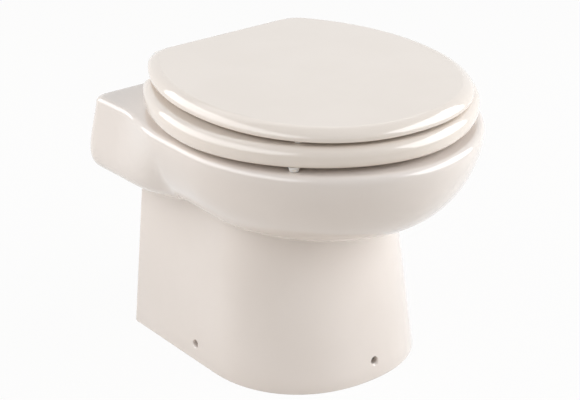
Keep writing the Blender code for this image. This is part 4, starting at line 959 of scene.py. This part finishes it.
dress(make_housing(), "pump_housing")
dress(lathe("ribbed_sleeve", (0, outlet_y, 0.1125), [
    (0.03068, 0), (0.03468, 0), (0.03468, 0.006), (0.0339, 0.0072), (0.0339, 0.0198),
    (0.03468, 0.021), (0.03468, 0.027), (0.03068, 0.027)], 0.0008, 4, "z", True, 96),
    "outlet_sleeve")
choke = rod("punched_choke", pump_axis, 0.0382, 0.027, 0.030, "y", 0.0004, 96)
ring_turns = np.arange(6) * math.pi / 3
combine(choke, [drill("choke_bore", pump_axis, 0.0052, 0, 0.05, "y", 36)]
        + [drill(f"choke_hole_{k}", (choke_ring_radius * math.cos(turn), 0,
                                     pump_height + choke_ring_radius * math.sin(turn)),
                 choke_hole_radius, 0, 0.05, "y", 32)
           for k, turn in enumerate(ring_turns)])
dress(choke, "choke_plate")
print("housing, sleeve and choke plate")

# %% Make the flange and its seals
flange = lathe("moulded_flange", pump_axis, [
    (0.0095, -0.0056), (0.013, -0.0056), (0.013, 0), (flange_radius, 0),
    (flange_radius, 0.007), (0.0095, 0.007)], 0.0007, 4, "y", True, 96)
dress(combine(flange, screw_holes("flange_hole")), "motor_flange")
gasket = sleeve("pressed_gasket", pump_axis, chamber_radius, flange_radius, 0.0073, 0.0085, "y",
                0.0003, 96)
dress(combine(gasket, screw_holes("gasket_hole")), "housing_gasket")
for k, place in enumerate(screw_places()):
    dress(lathe(f"socket_screw_{k + 1}", place, [
        (pole, -0.0016), (0.0015, -0.0016), (0.0015, -0.0033), (0.0027, -0.0033),
        (0.0035, -0.0022), (0.0035, -0.0003), (0.0018, -0.0003), (0.0018, 0.0107),
        (0.0011, 0.0115), (pole, 0.0115)], 0.0003, 3, "y", sides=36),
        f"flange_screw_{k + 1}")
dress(lathe("lipped_seal", pump_axis, [
    (0.0044, 0.0004), (0.0092, 0.0004), (0.0092, 0.0066), (0.0075, 0.0066), (0.0071, 0.0028),
    (0.0056, 0.0028), (0.0050, 0.0066), (0.0044, 0.0066)], 0.0003, 3, "y", True, 48),
    "shaft_seal")


def bearing(name, low, high):
    """Two races with a shallow channel between them on each face."""
    return lathe(name, pump_axis, [
        (0.0044, low), (0.0058, low), (0.0060, low + 0.0006), (0.0076, low + 0.0006),
        (0.0078, low), (0.0092, low), (0.0092, high), (0.0078, high), (0.0076, high - 0.0006),
        (0.0060, high - 0.0006), (0.0058, high), (0.0044, high)], 0.0002, 3, "y", True, 48)


dress(bearing("race_rear", -0.0053, -0.0003), "bearing_rear")
dress(bearing("race_front", -0.0623, -0.0573), "bearing_front")
print("flange, gasket, screws, seal and two bearings")

# %% [markdown]
# ## Motor
# The can is drawn steel with a rolled bead near each end. It lies in a moulded saddle on
# two rubber mounts, waisted so that they can give.

# %% Make the motor
dress(lathe("rolled_can", pump_axis, [
    (0.0342, -0.062), (0.036, -0.062), (0.036, -0.0555), (0.0354, -0.0548), (0.0354, -0.0532),
    (0.036, -0.0525), (0.036, -0.0098), (0.0354, -0.0091), (0.0354, -0.0075),
    (0.036, -0.0068), (0.036, -0.0003), (0.0342, -0.0003)], 0.0005, 4, "y", True, 96), "motor_can")
dress(lathe("cast_end_cap", pump_axis, [
    (pole, -0.0626), (0.0095, -0.0626), (0.0095, -0.0573), (0.013, -0.0573),
    (0.013, -0.0623), (0.036, -0.0623), (0.036, -0.0645), (0.0345, -0.0663),
    (0.015, -0.0663), (0.0145, -0.0655), (0.0125, -0.0655), (0.012, -0.0663),
    (pole, -0.0663)], 0.0006, 4, "y", sides=96), "motor_end_cap")
dress(sleeve("sintered_magnet", pump_axis, 0.0279, 0.0339, -0.050, -0.012, "y", 0.0008),
      "magnet_ring")
saddle = rounded_box("moulded_saddle", (-0.029, -0.045, 0.0126), (0.029, -0.015, 0.042), 0.002)
combine(saddle, [drill("saddle_cradle", pump_axis, 0.0363, -0.06, 0, "y", 96)])
dress(saddle, "motor_saddle")
for side, word in hands:
    dress(lathe(f"waisted_mount_{word}", (side * 0.020, -0.030, 0.0043), [
        (pole, 0), (0.007, 0), (0.007, 0.0016), (0.0058, 0.004), (0.007, 0.0064),
        (0.007, 0.008), (pole, 0.008)], 0.0009, 5, sides=48), f"motor_mount_{word}")
print("motor: can, end cap, magnet, saddle and mounts")

# %% [markdown]
# ## What turns inside
# One shaft carries the armature, the impeller and the macerator's blade, with a nut at its
# end. The armature's radius depends on the angle: it drops into eight slots. Each vane of
# the impeller is a bar whose middle line bends back a little towards the tip.

# %% Make the rotor
shaft_radius, carried_bore = 0.004, 0.0043
slot_count, slot_floor, slot_depth = 8, 0.0205, 0.006
vane_count, vane_middle_y, vane_bend = 5, 0.0179, 0.16
vane_half_thick, vane_half_width = 0.0017, 0.0063
blade_reach, blade_half_thick, blade_half_width = 0.028, 0.0015, 0.006


def shaft_hole(name):
    """The shaft's way through what it carries, with a running gap."""
    return drill(name, pump_axis, carried_bore, 0, 0.09, "y", 36)


def armature_rings():
    """radius = 26.5 mm less 6 mm inside each slot, with smooth steps at the slot's walls."""
    side, up, along = axis_frame("y")
    turn = np.linspace(0, 2 * math.pi, 320, endpoint=False)
    from_slot = (np.abs((turn / (2 * math.pi) * slot_count) % 1 - 0.5)
                 * (2 * math.pi / slot_count))
    wall = np.clip((from_slot - 0.060) / 0.014, 0, 1)
    outside = slot_floor + slot_depth * wall * wall * (3 - 2 * wall)
    circle = np.outer(np.cos(turn), up) + np.outer(np.sin(turn), side)
    low, high = -0.0497, -0.012
    profile = [(carried_bore, low), (outside - 0.0006, low), (outside, low + 0.0006),
               (outside, high - 0.0006), (outside - 0.0006, high), (carried_bore, high)]
    return [np.array(pump_axis) + place * along
            + np.broadcast_to(radius, turn.shape)[:, None] * circle for radius, place in profile]


dress(rod("turned_shaft", pump_axis, shaft_radius, -0.0623, 0.0665, "y", 0.0007, 40),
      "pump_shaft")
dress(skin("laminated_armature", armature_rings(), wrap=True), "armature")


def vane(k):
    """Superellipse sections along a line whose angle grows with the square of the radius."""
    turn = np.linspace(0, 2 * math.pi, 28, endpoint=False)
    across, along_axis = squircle(turn, 5)
    rings = []
    for reach in np.linspace(0.006, 0.0333, 12):
        angle = 2 * math.pi * k / vane_count + vane_bend * (reach / 0.0335) ** 2
        outward = np.array([math.cos(angle), 0, math.sin(angle)])
        beside = np.array([-math.sin(angle), 0, math.cos(angle)])
        middle = np.array([0, vane_middle_y, pump_height]) + reach * outward
        rings.append(middle + np.outer(across * vane_half_thick, beside)
                     + np.outer(along_axis * vane_half_width, (0, 1, 0)))
    return skin(f"vane_{k}", rings)


impeller = rod("cast_impeller", pump_axis, 0.010, 0.0113, 0.0245, "y", 0.0008, 64)
combine(impeller, [vane(k) for k in range(vane_count)], "UNION")
combine(impeller, [shaft_hole("impeller_bore")])
dress(impeller, "impeller")


def blade_rings():
    """Sections across the bar: flat in the middle, ground to an edge towards both tips."""
    turn = np.linspace(0, 2 * math.pi, 32, endpoint=False)
    rings = []
    for x in np.linspace(-blade_reach, blade_reach, 33):
        tip = min(1.0, abs(x) / blade_reach)
        u, v = squircle(turn, 5 - 3.4 * min(1.0, max(0.0, (abs(x) - 0.010) / 0.005)))
        half_width = blade_half_width - 0.0012 * tip ** 4
        rings.append(np.stack([np.full(turn.shape, x), 0.055 + blade_half_thick * u,
                               pump_height + half_width * v], 1))
    return rings


blade = skin("ground_blade", blade_rings())
combine(blade, [shaft_hole("blade_bore")])
dress(blade, "macerator_blade")
nut = lathe("hex_nut", pump_axis, [
    (pole, 0.0568), (0.0064, 0.0568), (0.007, 0.0574), (0.007, 0.0612), (0.0064, 0.0618),
    (pole, 0.0618)], 0.0002, 3, "y", sides=6)
combine(nut, [shaft_hole("nut_bore")])
dress(nut, "blade_nut")
print("rotor: shaft, armature, impeller, blade and nut")

# %% [markdown]
# ## Discharge
# A rubber elbow takes the waste from the port to a check valve. Inside the valve a small
# hinged flap falls shut against the flow back, and a barbed tail takes the hose.

# %% Make the discharge line
discharge_x, elbow_radius = -0.084, 0.0185
valve_axis = (discharge_x, 0, pump_height)
socket_end, tail_end, barb_count, tail_radius = 0.1399, 0.1706, 4, 0.0135


def elbow_path():
    """Straight from the port, round a quarter of a circle, then straight to the valve."""
    turn = quarter(18)
    round_x = discharge_x + elbow_radius * (1 - np.sin(turn))
    round_y = port_y + elbow_radius * (1 - np.cos(turn))
    x = np.concatenate([np.linspace(-0.0535, round_x[0], 5)[:-1], round_x,
                        np.full(10, discharge_x)])
    y = np.concatenate([np.full(4, port_y), round_y, np.linspace(round_y[-1], 0.086, 11)[1:]])
    return np.stack([x, y, np.full(x.shape, pump_height)], 1)


def hollow_pipe(name, path, bore, radii, sides=48):
    """The outside goes out along the path and the bore comes back, closed like a long ring."""
    return skin(name, swept_rings(path, radii, sides) + swept_rings(path, bore, sides)[::-1],
                wrap=True)


path = elbow_path()
run = np.concatenate([[0], np.cumsum(np.linalg.norm(np.diff(path, axis=0), axis=1))])
from_end = np.minimum(run, run[-1] - run)
cuff = np.clip((from_end - 0.010) / 0.003, 0, 1)
dress(hollow_pipe("cuffed_elbow", path, 0.0135, 0.0165 - 0.0008 * cuff), "discharge_elbow")
dress(lathe("moulded_valve", valve_axis, [
    (0.0105, 0.0763), (0.0132, 0.0763), (0.0132, 0.0863), (0.0205, 0.0863), (0.0225, 0.0883),
    (0.0225, 0.1048), (0.0218, 0.1053), (0.0218, 0.1073), (0.0225, 0.1078), (0.0225, 0.1243),
    (0.0205, 0.1263), (0.0132, 0.1263), (0.0132, 0.1363), (0.0105, 0.1363), (0.0105, 0.1233),
    (0.0195, 0.1233), (0.0195, 0.0893), (0.0105, 0.0893)], 0.0006, 4, "y", True, 96),
    "check_valve_body")
flap_hinge = (discharge_x, 0.0922, 0.0758)
flap = rod("moulded_flap", valve_axis, 0.0135, 0.0896, 0.0918, "y", 0.0007, 64)
combine(flap, [rod("flap_ear", flap_hinge, 0.0026, -0.004, 0.004, "x", 0.0005, 32),
               rounded_box("flap_web", (discharge_x - 0.0037, 0.0899, pump_height),
                           (discharge_x + 0.0037, 0.0914, flap_hinge[2]), 0.0004)], "UNION")
combine(flap, [drill("flap_bore", flap_hinge, 0.0017, -0.01, 0.01, "x", 24)])
dress(flap, "check_flap")
dress(rod("drawn_flap_pin", flap_hinge, 0.0013, -0.00877, 0.00877, "x", 0.0003, 24), "flap_pin")


def spigot_profile():
    """Socket, shoulder, then barbs: each rises at once and slopes down away from the valve."""
    profile = [(tail_radius, 0.1266), (0.0165, 0.1266), (0.0165, socket_end)]
    pitch = (tail_end - socket_end) / barb_count
    for foot in socket_end + pitch * np.arange(barb_count):
        profile += [(0.0150, foot + touch_gap), (tail_radius, foot + pitch)]
    return profile + [(0.0105, tail_end), (0.0105, 0.1369), (tail_radius, 0.1369)]


dress(lathe("barbed_tail", valve_axis, spigot_profile(), 0.0004, 4, "y", True, 80),
      "discharge_spigot")
print("discharge: elbow, valve, flap, pin and tail")

# %% [markdown]
# ## Rinse water
# A solenoid valve lets rinse water through a hose to the flush channel under the rim. The
# coil pulls a steel plunger, and a spring pushes it back. The spring is a helix that
# flattens when the plunger moves; here it gets a mesh of its own.

# %% Make the rinse valve
valve_middle = (0.052, 0.148, 0.073)
spring_turns, spring_radius, spring_wire = 7, 0.0035, 0.00048
body = rounded_box("moulded_body", (0.037, 0.133, 0.062), (0.067, 0.163, 0.084), 0.0022)
combine(body, [
    threaded("inlet_thread", valve_middle, 0.0057, 0.0065, 0.0018, 0.0175, 0.039, "y", 48),
    rod("inlet_root", valve_middle, 0.0057, 0, 0.020, "y", 0.0003, 48),
    lathe("outlet_stub", valve_middle, [
        (pole, 0), (0.0041, 0), (0.0041, 0.0175), (0.0046, 0.018), (0.0041, 0.0205),
        (0.0046, 0.021), (0.0040, 0.023), (pole, 0.023)], 0.0002, 3, sides=36)], "UNION")
combine(body, [
    drill("inlet_bore", valve_middle, 0.0035, 0.0014, 0.06, "y", 32),
    drill("outlet_bore", valve_middle, 0.00315, 0.0014, 0.04, sides=32),
    drill("plunger_bore", valve_middle, 0.0062, -0.005, 0.03, "x", 40)])
dress(body, "solenoid_body")
dress(lathe("wound_coil", valve_middle, [
    (pole, 0.0393), (0.0054, 0.0393), (0.0054, 0.0153), (0.0155, 0.0153), (0.0155, 0.0195),
    (0.0148, 0.0203), (0.0148, 0.0403), (0.0155, 0.0411), (0.0155, 0.0453),
    (pole, 0.0453)], 0.0010, 5, "x", sides=80), "solenoid_coil")
dress(lathe("turned_plunger", valve_middle, [
    (pole, -0.0047), (0.0036, -0.0047), (0.005, -0.0033), (0.005, 0.0006), (0.0045, 0.0010),
    (0.0045, 0.0022), (0.005, 0.0026), (0.005, 0.0273), (pole, 0.0273)],
    0.0004, 3, "x", sides=48), "valve_plunger")


def spring_path():
    """A helix of seven turns, with one flat turn at each end, along the valve's own axis."""
    share = np.linspace(0, 1, 240)
    turn = share * 2 * math.pi * (spring_turns + 2)
    low, high = 0.0796 + 0.0005, 0.0910 - 0.0005
    pitch_share = np.clip((share * (spring_turns + 2) - 1) / spring_turns, 0, 1)
    return np.stack([low + (high - low) * pitch_share,
                     valve_middle[1] + spring_radius * np.cos(turn),
                     valve_middle[2] + spring_radius * np.sin(turn)], 1)


spring = dress(skin("coiled_spring", swept_rings(spring_path(), spring_wire, 10)), "plunger_spring")
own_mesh(spring)
print("rinse valve: body, coil, plunger and spring")

# %% Make the rinse hose
rinse_axis, tail_y = (0, 0, rinse_height), 0.176
valve_x, valve_y = valve_middle[:2]
rinse_elbow = lathe("moulded_elbow", rinse_axis, [
    (pole, 0.146), (0.0076, 0.146), (0.0076, 0.1543), (0.0135, 0.1543), (0.0135, 0.1573),
    (0.0076, 0.1573), (0.0076, 0.1790), (0.0058, 0.1836), (pole, 0.1836)],
    0.0008, 4, "y", sides=64)
combine(rinse_elbow, [lathe("rinse_tail", (0, tail_y, 0), [
    (pole, 0.246), (0.0041, 0.246), (0.0046, 0.2475), (0.0041, 0.2500), (0.0046, 0.2510),
    (0.0041, 0.2535), (0.0043, 0.274), (pole, 0.274)], 0.0002, 3, sides=36)], "UNION")
combine(rinse_elbow, [
    drill("rinse_bore", rinse_axis, 0.0035, 0.13, 0.1774, "y", 32),
    drill("tail_bore", (0, tail_y, 0), 0.00315, 0.23, 0.2754, sides=32)])
dress(rinse_elbow, "rinse_elbow")


def hose_path():
    """Straight up off the valve, across by the step 3s^2 - 2s^3, and straight into the elbow."""
    low, high, grip = 0.0843, 0.258, 0.012
    share = np.linspace(0, 1, 56)
    ease = share * share * (3 - 2 * share)
    across = np.stack([valve_x * (1 - ease), valve_y + 0.028 * ease,
                       low + grip + (0.246 - low - grip) * share], 1)
    return np.concatenate([[(valve_x, valve_y, low), (valve_x, valve_y, low + grip / 2)], across,
                           [(0, tail_y, high - grip / 2), (0, tail_y, high)]])


dress(hollow_pipe("flexible_hose", hose_path(), 0.005, 0.0075, 40), "rinse_hose")
for word, x, y, middle in (("lower", valve_x, valve_y, 0.0903), ("upper", 0, tail_y, 0.252)):
    dress(lathe(f"band_clip_{word}", (x, y, middle), [
        (0.0078, -0.0035), (0.0086, -0.0035), (0.0091, -0.0028), (0.0091, 0.0028),
        (0.0086, 0.0035), (0.0078, 0.0035)], 0.0003, 3, "z", True, 64),
        f"hose_clip_{word}")
print("rinse hose, elbow and two clips")

# %% [markdown]
# ## Wiring
# Two leads end at a terminal block on the tray. Each follows the solid's own route: shares
# of the way across, along and up from one end to the other, smoothed into one curve.

# %% Make the wiring
lead_radius = 0.0028
block = rounded_box("moulded_block", (0.061, -0.007, 0.0043), (0.079, 0.027, 0.0203), 0.0010)
combine(block, [drill(f"well_{k}", (0.070 + x, 0.010 + y, 0.0203), 0.0028, -0.006, 0.006, sides=28)
                for k, (x, y) in enumerate(((-0.0045, -0.0085), (-0.0045, 0.0085),
                                            (0.0045, -0.0085), (0.0045, 0.0085)))])
dress(block, "terminal_block")
lead_ends = {"motor_lead": ((0.0363, -0.050, 0.060), (0.070, -0.0073, 0.0123)),
             "valve_lead": ((0.070, 0.0273, 0.0123), (0.082, 0.1322, 0.073))}
lead_shares = {"motor_lead": ((0, 0, 0), (0.33, 0, 0.06), (0.67, 0.18, 0.40),
                              (1, 0.47, 0.94), (1, 0.70, 1), (1, 1, 1)),
               "valve_lead": ((0, 0, 0), (0, 0.2, 0), (0.23, 0.5, 0.09), (0.77, 0.78, 0.52),
                              (1, 0.92, 0.94), (1, 1, 1))}
for node, (start, end) in lead_ends.items():
    places = np.array(start) + (np.array(end) - start) * np.array(lead_shares[node])
    dress(skin(f"jacketed_{node}", swept_rings(smooth_path(places, 12), lead_radius, 24)), node)
print("terminal block and two leads")

# %% [markdown]
# ## Finishes
# Real glaze and moulded plastic are never one flat colour. The colour drifts a little over
# a hand's width, and fine unevenness bends the reflections. Two shared groups give these:
# one mixes two close colours by a soft noise, and one gives a height for a Bump node. Each
# material then sets its own scale and amount.

# %% Shared shader groups
def socket(group, name, kind, in_out, value=None):
    """Give a group one named input or output, with a start value where it has one."""
    made = group.interface.new_socket(name=name, in_out=in_out, socket_type=kind)
    if value is not None:
        made.default_value = value


def colour_drift_group():
    """Mix of two colours by a noise, with the contrast between them eased."""
    group = bpy.data.node_groups.new("colour_drift", "ShaderNodeTree")
    socket(group, "First", "NodeSocketColor", "INPUT")
    socket(group, "Second", "NodeSocketColor", "INPUT")
    socket(group, "Scale", "NodeSocketFloat", "INPUT", 20.0)
    socket(group, "Colour", "NodeSocketColor", "OUTPUT")
    socket(group, "Mask", "NodeSocketFloat", "OUTPUT")
    add, link = group.nodes.new, group.links.new
    inputs, outputs = add("NodeGroupInput"), add("NodeGroupOutput")
    place, noise = add("ShaderNodeTexCoord"), add("ShaderNodeTexNoise")
    ease, mix = add("ShaderNodeMapRange"), add("ShaderNodeMix")
    noise.inputs["Detail"].default_value = 3.0
    ease.interpolation_type = "SMOOTHSTEP"
    ease.inputs["From Min"].default_value = 0.3
    ease.inputs["From Max"].default_value = 0.7
    mix.data_type = "RGBA"
    link(place.outputs["Object"], noise.inputs["Vector"])
    link(inputs.outputs["Scale"], noise.inputs["Scale"])
    link(noise.outputs["Fac"], ease.inputs["Value"])
    link(ease.outputs["Result"], mix.inputs[0])
    link(inputs.outputs["First"], mix.inputs[6])
    link(inputs.outputs["Second"], mix.inputs[7])
    link(mix.outputs[2], outputs.inputs["Colour"])
    link(ease.outputs["Result"], outputs.inputs["Mask"])
    return group


def surface_height_group():
    """Height = broad waves + fine grain, each a noise with its own scale and amount."""
    group = bpy.data.node_groups.new("surface_height", "ShaderNodeTree")
    for name, value in (("Wave Scale", 18.0), ("Wave Amount", 1.0), ("Grain Scale", 900.0),
                        ("Grain Amount", 0.1)):
        socket(group, name, "NodeSocketFloat", "INPUT", value)
    socket(group, "Height", "NodeSocketFloat", "OUTPUT")
    add, link = group.nodes.new, group.links.new
    inputs, outputs = add("NodeGroupInput"), add("NodeGroupOutput")
    place = add("ShaderNodeTexCoord")
    parts = []
    for word in ("Wave", "Grain"):
        noise, scaled = add("ShaderNodeTexNoise"), add("ShaderNodeMath")
        scaled.operation = "MULTIPLY"
        link(place.outputs["Object"], noise.inputs["Vector"])
        link(inputs.outputs[f"{word} Scale"], noise.inputs["Scale"])
        link(noise.outputs["Fac"], scaled.inputs[0])
        link(inputs.outputs[f"{word} Amount"], scaled.inputs[1])
        parts.append(scaled)
    total = add("ShaderNodeMath")
    link(parts[0].outputs[0], total.inputs[0])
    link(parts[1].outputs[0], total.inputs[1])
    link(total.outputs[0], outputs.inputs["Height"])
    return group


colour_drift = colour_drift_group()
surface_height = surface_height_group()


def finish(name, first, second, drift_scale, roughness, waves, grain, bump, metallic=0.0,
           roughness_spread=0.0, **constants):
    """A Principled finish: drifting colour, drifting roughness, and waves and grain in its bump."""
    made = bpy.data.materials.new(name)
    made.use_nodes = True
    tree = made.node_tree
    add, link = tree.nodes.new, tree.links.new
    shader = tree.nodes["Principled BSDF"]
    drift, height, bumps = (add("ShaderNodeGroup"), add("ShaderNodeGroup"), add("ShaderNodeBump"))
    drift.node_tree, height.node_tree = colour_drift, surface_height
    drift.inputs["First"].default_value = (*first, 1)
    drift.inputs["Second"].default_value = (*second, 1)
    drift.inputs["Scale"].default_value = drift_scale
    height.inputs["Wave Scale"].default_value, height.inputs["Wave Amount"].default_value = waves
    height.inputs["Grain Scale"].default_value, height.inputs["Grain Amount"].default_value = grain
    bumps.inputs["Strength"].default_value = 1.0
    bumps.inputs["Distance"].default_value = bump
    link(drift.outputs["Colour"], shader.inputs["Base Color"])
    link(height.outputs["Height"], bumps.inputs["Height"])
    link(bumps.outputs["Normal"], shader.inputs["Normal"])
    shader.inputs["Roughness"].default_value = roughness
    shader.inputs["Metallic"].default_value = metallic
    if roughness_spread:
        spread = add("ShaderNodeMapRange")
        spread.inputs["To Min"].default_value = roughness - roughness_spread
        spread.inputs["To Max"].default_value = roughness + roughness_spread
        link(drift.outputs["Mask"], spread.inputs["Value"])
        link(spread.outputs["Result"], shader.inputs["Roughness"])
    for word, value in constants.items():
        shader.inputs[word.replace("_", " ")].default_value = value
    return made


print("shader groups:", colour_drift.name, "and", surface_height.name)

# %% [markdown]
# The glaze is a clear glassy coat over a warm white body, so it gets a coat with very low
# roughness. The seat's plastic is polished nearly as much, but without that second layer
# its highlights are softer.

# %% The finishes
materials = {
    "china": finish("china_glaze", (0.80, 0.727, 0.671), (0.78, 0.705, 0.647), 9.0, 0.09,
                    (22.0, 1.0), (700.0, 0.02), 0.00022, Coat_Weight=0.7, Coat_Roughness=0.02),
    "seat_plastic": finish("seat_gloss", (0.82, 0.736, 0.658), (0.802, 0.717, 0.638), 12.0, 0.10,
                           (26.0, 1.0), (1400.0, 0.015), 0.00008, Coat_Weight=0.6,
                           Coat_Roughness=0.03),
    "clear_rubber": finish("milky_rubber", (0.86, 0.82, 0.77), (0.80, 0.76, 0.71), 160.0, 0.30,
                           (300.0, 1.0), (2500.0, 0.4), 0.00008, Subsurface_Weight=0.9,
                           Subsurface_Scale=1.0, Subsurface_Radius=(0.006, 0.0055, 0.005)),
    "white_plastic": finish("white_nylon", (0.72, 0.71, 0.68), (0.66, 0.65, 0.62), 60.0, 0.42,
                            (120.0, 1.0), (2200.0, 0.5), 0.00005, roughness_spread=0.05),
    "black_rubber": finish("black_rubber", (0.022, 0.022, 0.023), (0.040, 0.040, 0.040), 90.0,
                           0.62, (150.0, 0.6), (1800.0, 1.0), 0.00010, roughness_spread=0.08),
    "grey_plastic": finish("dark_grey_plastic", (0.055, 0.057, 0.062), (0.075, 0.077, 0.082),
                           45.0, 0.48, (90.0, 0.5), (1500.0, 1.0), 0.00006,
                           roughness_spread=0.06),
    "steel": finish("stainless_steel", (0.55, 0.55, 0.56), (0.46, 0.46, 0.47), 120.0, 0.28,
                    (40.0, 0.4), (3000.0, 1.0), 0.00002, metallic=1.0, roughness_spread=0.08),
    "brass": finish("cast_bronze", (0.55, 0.38, 0.17), (0.42, 0.28, 0.12), 150.0, 0.38,
                    (200.0, 0.6), (1400.0, 1.0), 0.00008, metallic=1.0, roughness_spread=0.10),
    "motor_paint": finish("satin_black_paint", (0.016, 0.017, 0.019), (0.024, 0.025, 0.027),
                          70.0, 0.36, (110.0, 0.8), (1200.0, 0.5), 0.00005,
                          roughness_spread=0.05),
    "copper": finish("varnished_copper", (0.50, 0.20, 0.09), (0.38, 0.13, 0.06), 400.0, 0.30,
                     (900.0, 1.0), (2600.0, 0.5), 0.00012, metallic=1.0, Coat_Weight=0.4),
    "lead_jacket": finish("cable_jacket", (0.018, 0.018, 0.018), (0.030, 0.030, 0.030), 200.0,
                          0.45, (260.0, 0.6), (2400.0, 0.6), 0.00006),
}
for row in frame["record"]["subparts"]:
    node = nodes[row["node"]]
    node.data.materials.clear()
    node.data.materials.append(materials[row["material_slot"]])
for piece in list(bpy.context.scene.objects):
    if "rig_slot" in piece:
        piece.data.materials.clear()
        piece.data.materials.append(materials[piece["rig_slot"]])
print("finishes:", sorted(materials))

# %% [markdown]
# ## Floor and light
# The floor stays almost white in the camera's eyes but still takes the object's soft
# shadow. The lamps are large, because each one is seen again as a highlight in the glaze:
# a long wall of light on the left, a slightly cooler panel at the front right, and a faint
# one high behind, which keeps the back from going dark.

# %% The floor
floor_size, floor_glow_share = 14.0, 0.94
floor_paint = (0.71, 0.67, 0.62, 1)


def seen_mask(tree):
    """The greatest of Is Camera Ray, Is Glossy Ray and Is Transmission Ray."""
    rays = tree.nodes.new("ShaderNodeLightPath")
    mask = rays.outputs["Is Camera Ray"]
    for word in ("Is Glossy Ray", "Is Transmission Ray"):
        either = tree.nodes.new("ShaderNodeMath")
        either.operation = "MAXIMUM"
        tree.links.new(mask, either.inputs[0])
        tree.links.new(rays.outputs[word], either.inputs[1])
        mask = either.outputs[0]
    return mask


def floor_material():
    """For eyes and mirrors part of the floor glows white; the rest is lit and shaded."""
    made = bpy.data.materials.new("studio_floor")
    made.use_nodes = True
    tree = made.node_tree
    tree.nodes.clear()
    add, link = tree.nodes.new, tree.links.new
    paint, glow, mix = (add("ShaderNodeBsdfDiffuse"), add("ShaderNodeEmission"),
                        add("ShaderNodeMixShader"))
    share, out = add("ShaderNodeMath"), add("ShaderNodeOutputMaterial")
    paint.inputs["Color"].default_value = floor_paint
    glow.inputs["Color"].default_value = (1, 1, 1, 1)
    share.operation = "MULTIPLY"
    share.inputs[1].default_value = floor_glow_share
    link(seen_mask(tree), share.inputs[0])
    link(share.outputs[0], mix.inputs[0])
    link(paint.outputs[0], mix.inputs[1])
    link(glow.outputs[0], mix.inputs[2])
    link(mix.outputs[0], out.inputs[0])
    return made


half = floor_size / 2
floor_mesh = bpy.data.meshes.new("floor")
floor_mesh.from_pydata([(-half, -half, 0), (half, -half, 0), (half, half, 0), (-half, half, 0)],
                       [], [(0, 1, 2, 3)])
floor_mesh.materials.append(floor_material())
floor = in_scene("floor", floor_mesh)
print("floor:", floor_size, "m square")

# %% The world and the lamps
world_light = 0.09
lamp_distance = 2.0
lamp_target = Vector((0, 0, 0.2))

world = bpy.data.worlds.new("studio")
world.use_nodes = True
bpy.context.scene.world = world
sky = world.node_tree
background, strength = sky.nodes["Background"], sky.nodes.new("ShaderNodeMapRange")
strength.inputs["To Min"].default_value = world_light
strength.inputs["To Max"].default_value = 1.0
sky.links.new(seen_mask(sky), strength.inputs["Value"])
sky.links.new(strength.outputs["Result"], background.inputs["Strength"])
background.inputs["Color"].default_value = (1, 1, 1, 1)


def soft_lamp(name, azimuth, elevation, width, height, power, colour=(1, 1, 1)):
    """A rectangular lamp round the object, at two angles in degrees, that faces its middle."""
    data = bpy.data.lights.new(name, "AREA")
    data.shape = "RECTANGLE"
    data.size, data.size_y, data.energy = width, height, power
    data.color = colour
    aim(in_scene(name, data), lamp_target, azimuth, elevation, lamp_distance)


soft_lamp("left_wall", -112, 34, 4.8, 1.4, 55, (0.985, 1.0, 1.02))
soft_lamp("right_panel", 52, 27, 2.4, 1.6, 49.5, (0.972, 1.0, 1.032))
soft_lamp("rear_wall", 168, 56, 2.6, 0.8, 4)
bpy.context.scene.view_settings.view_transform = "Standard"
print("lamps and floor ready")
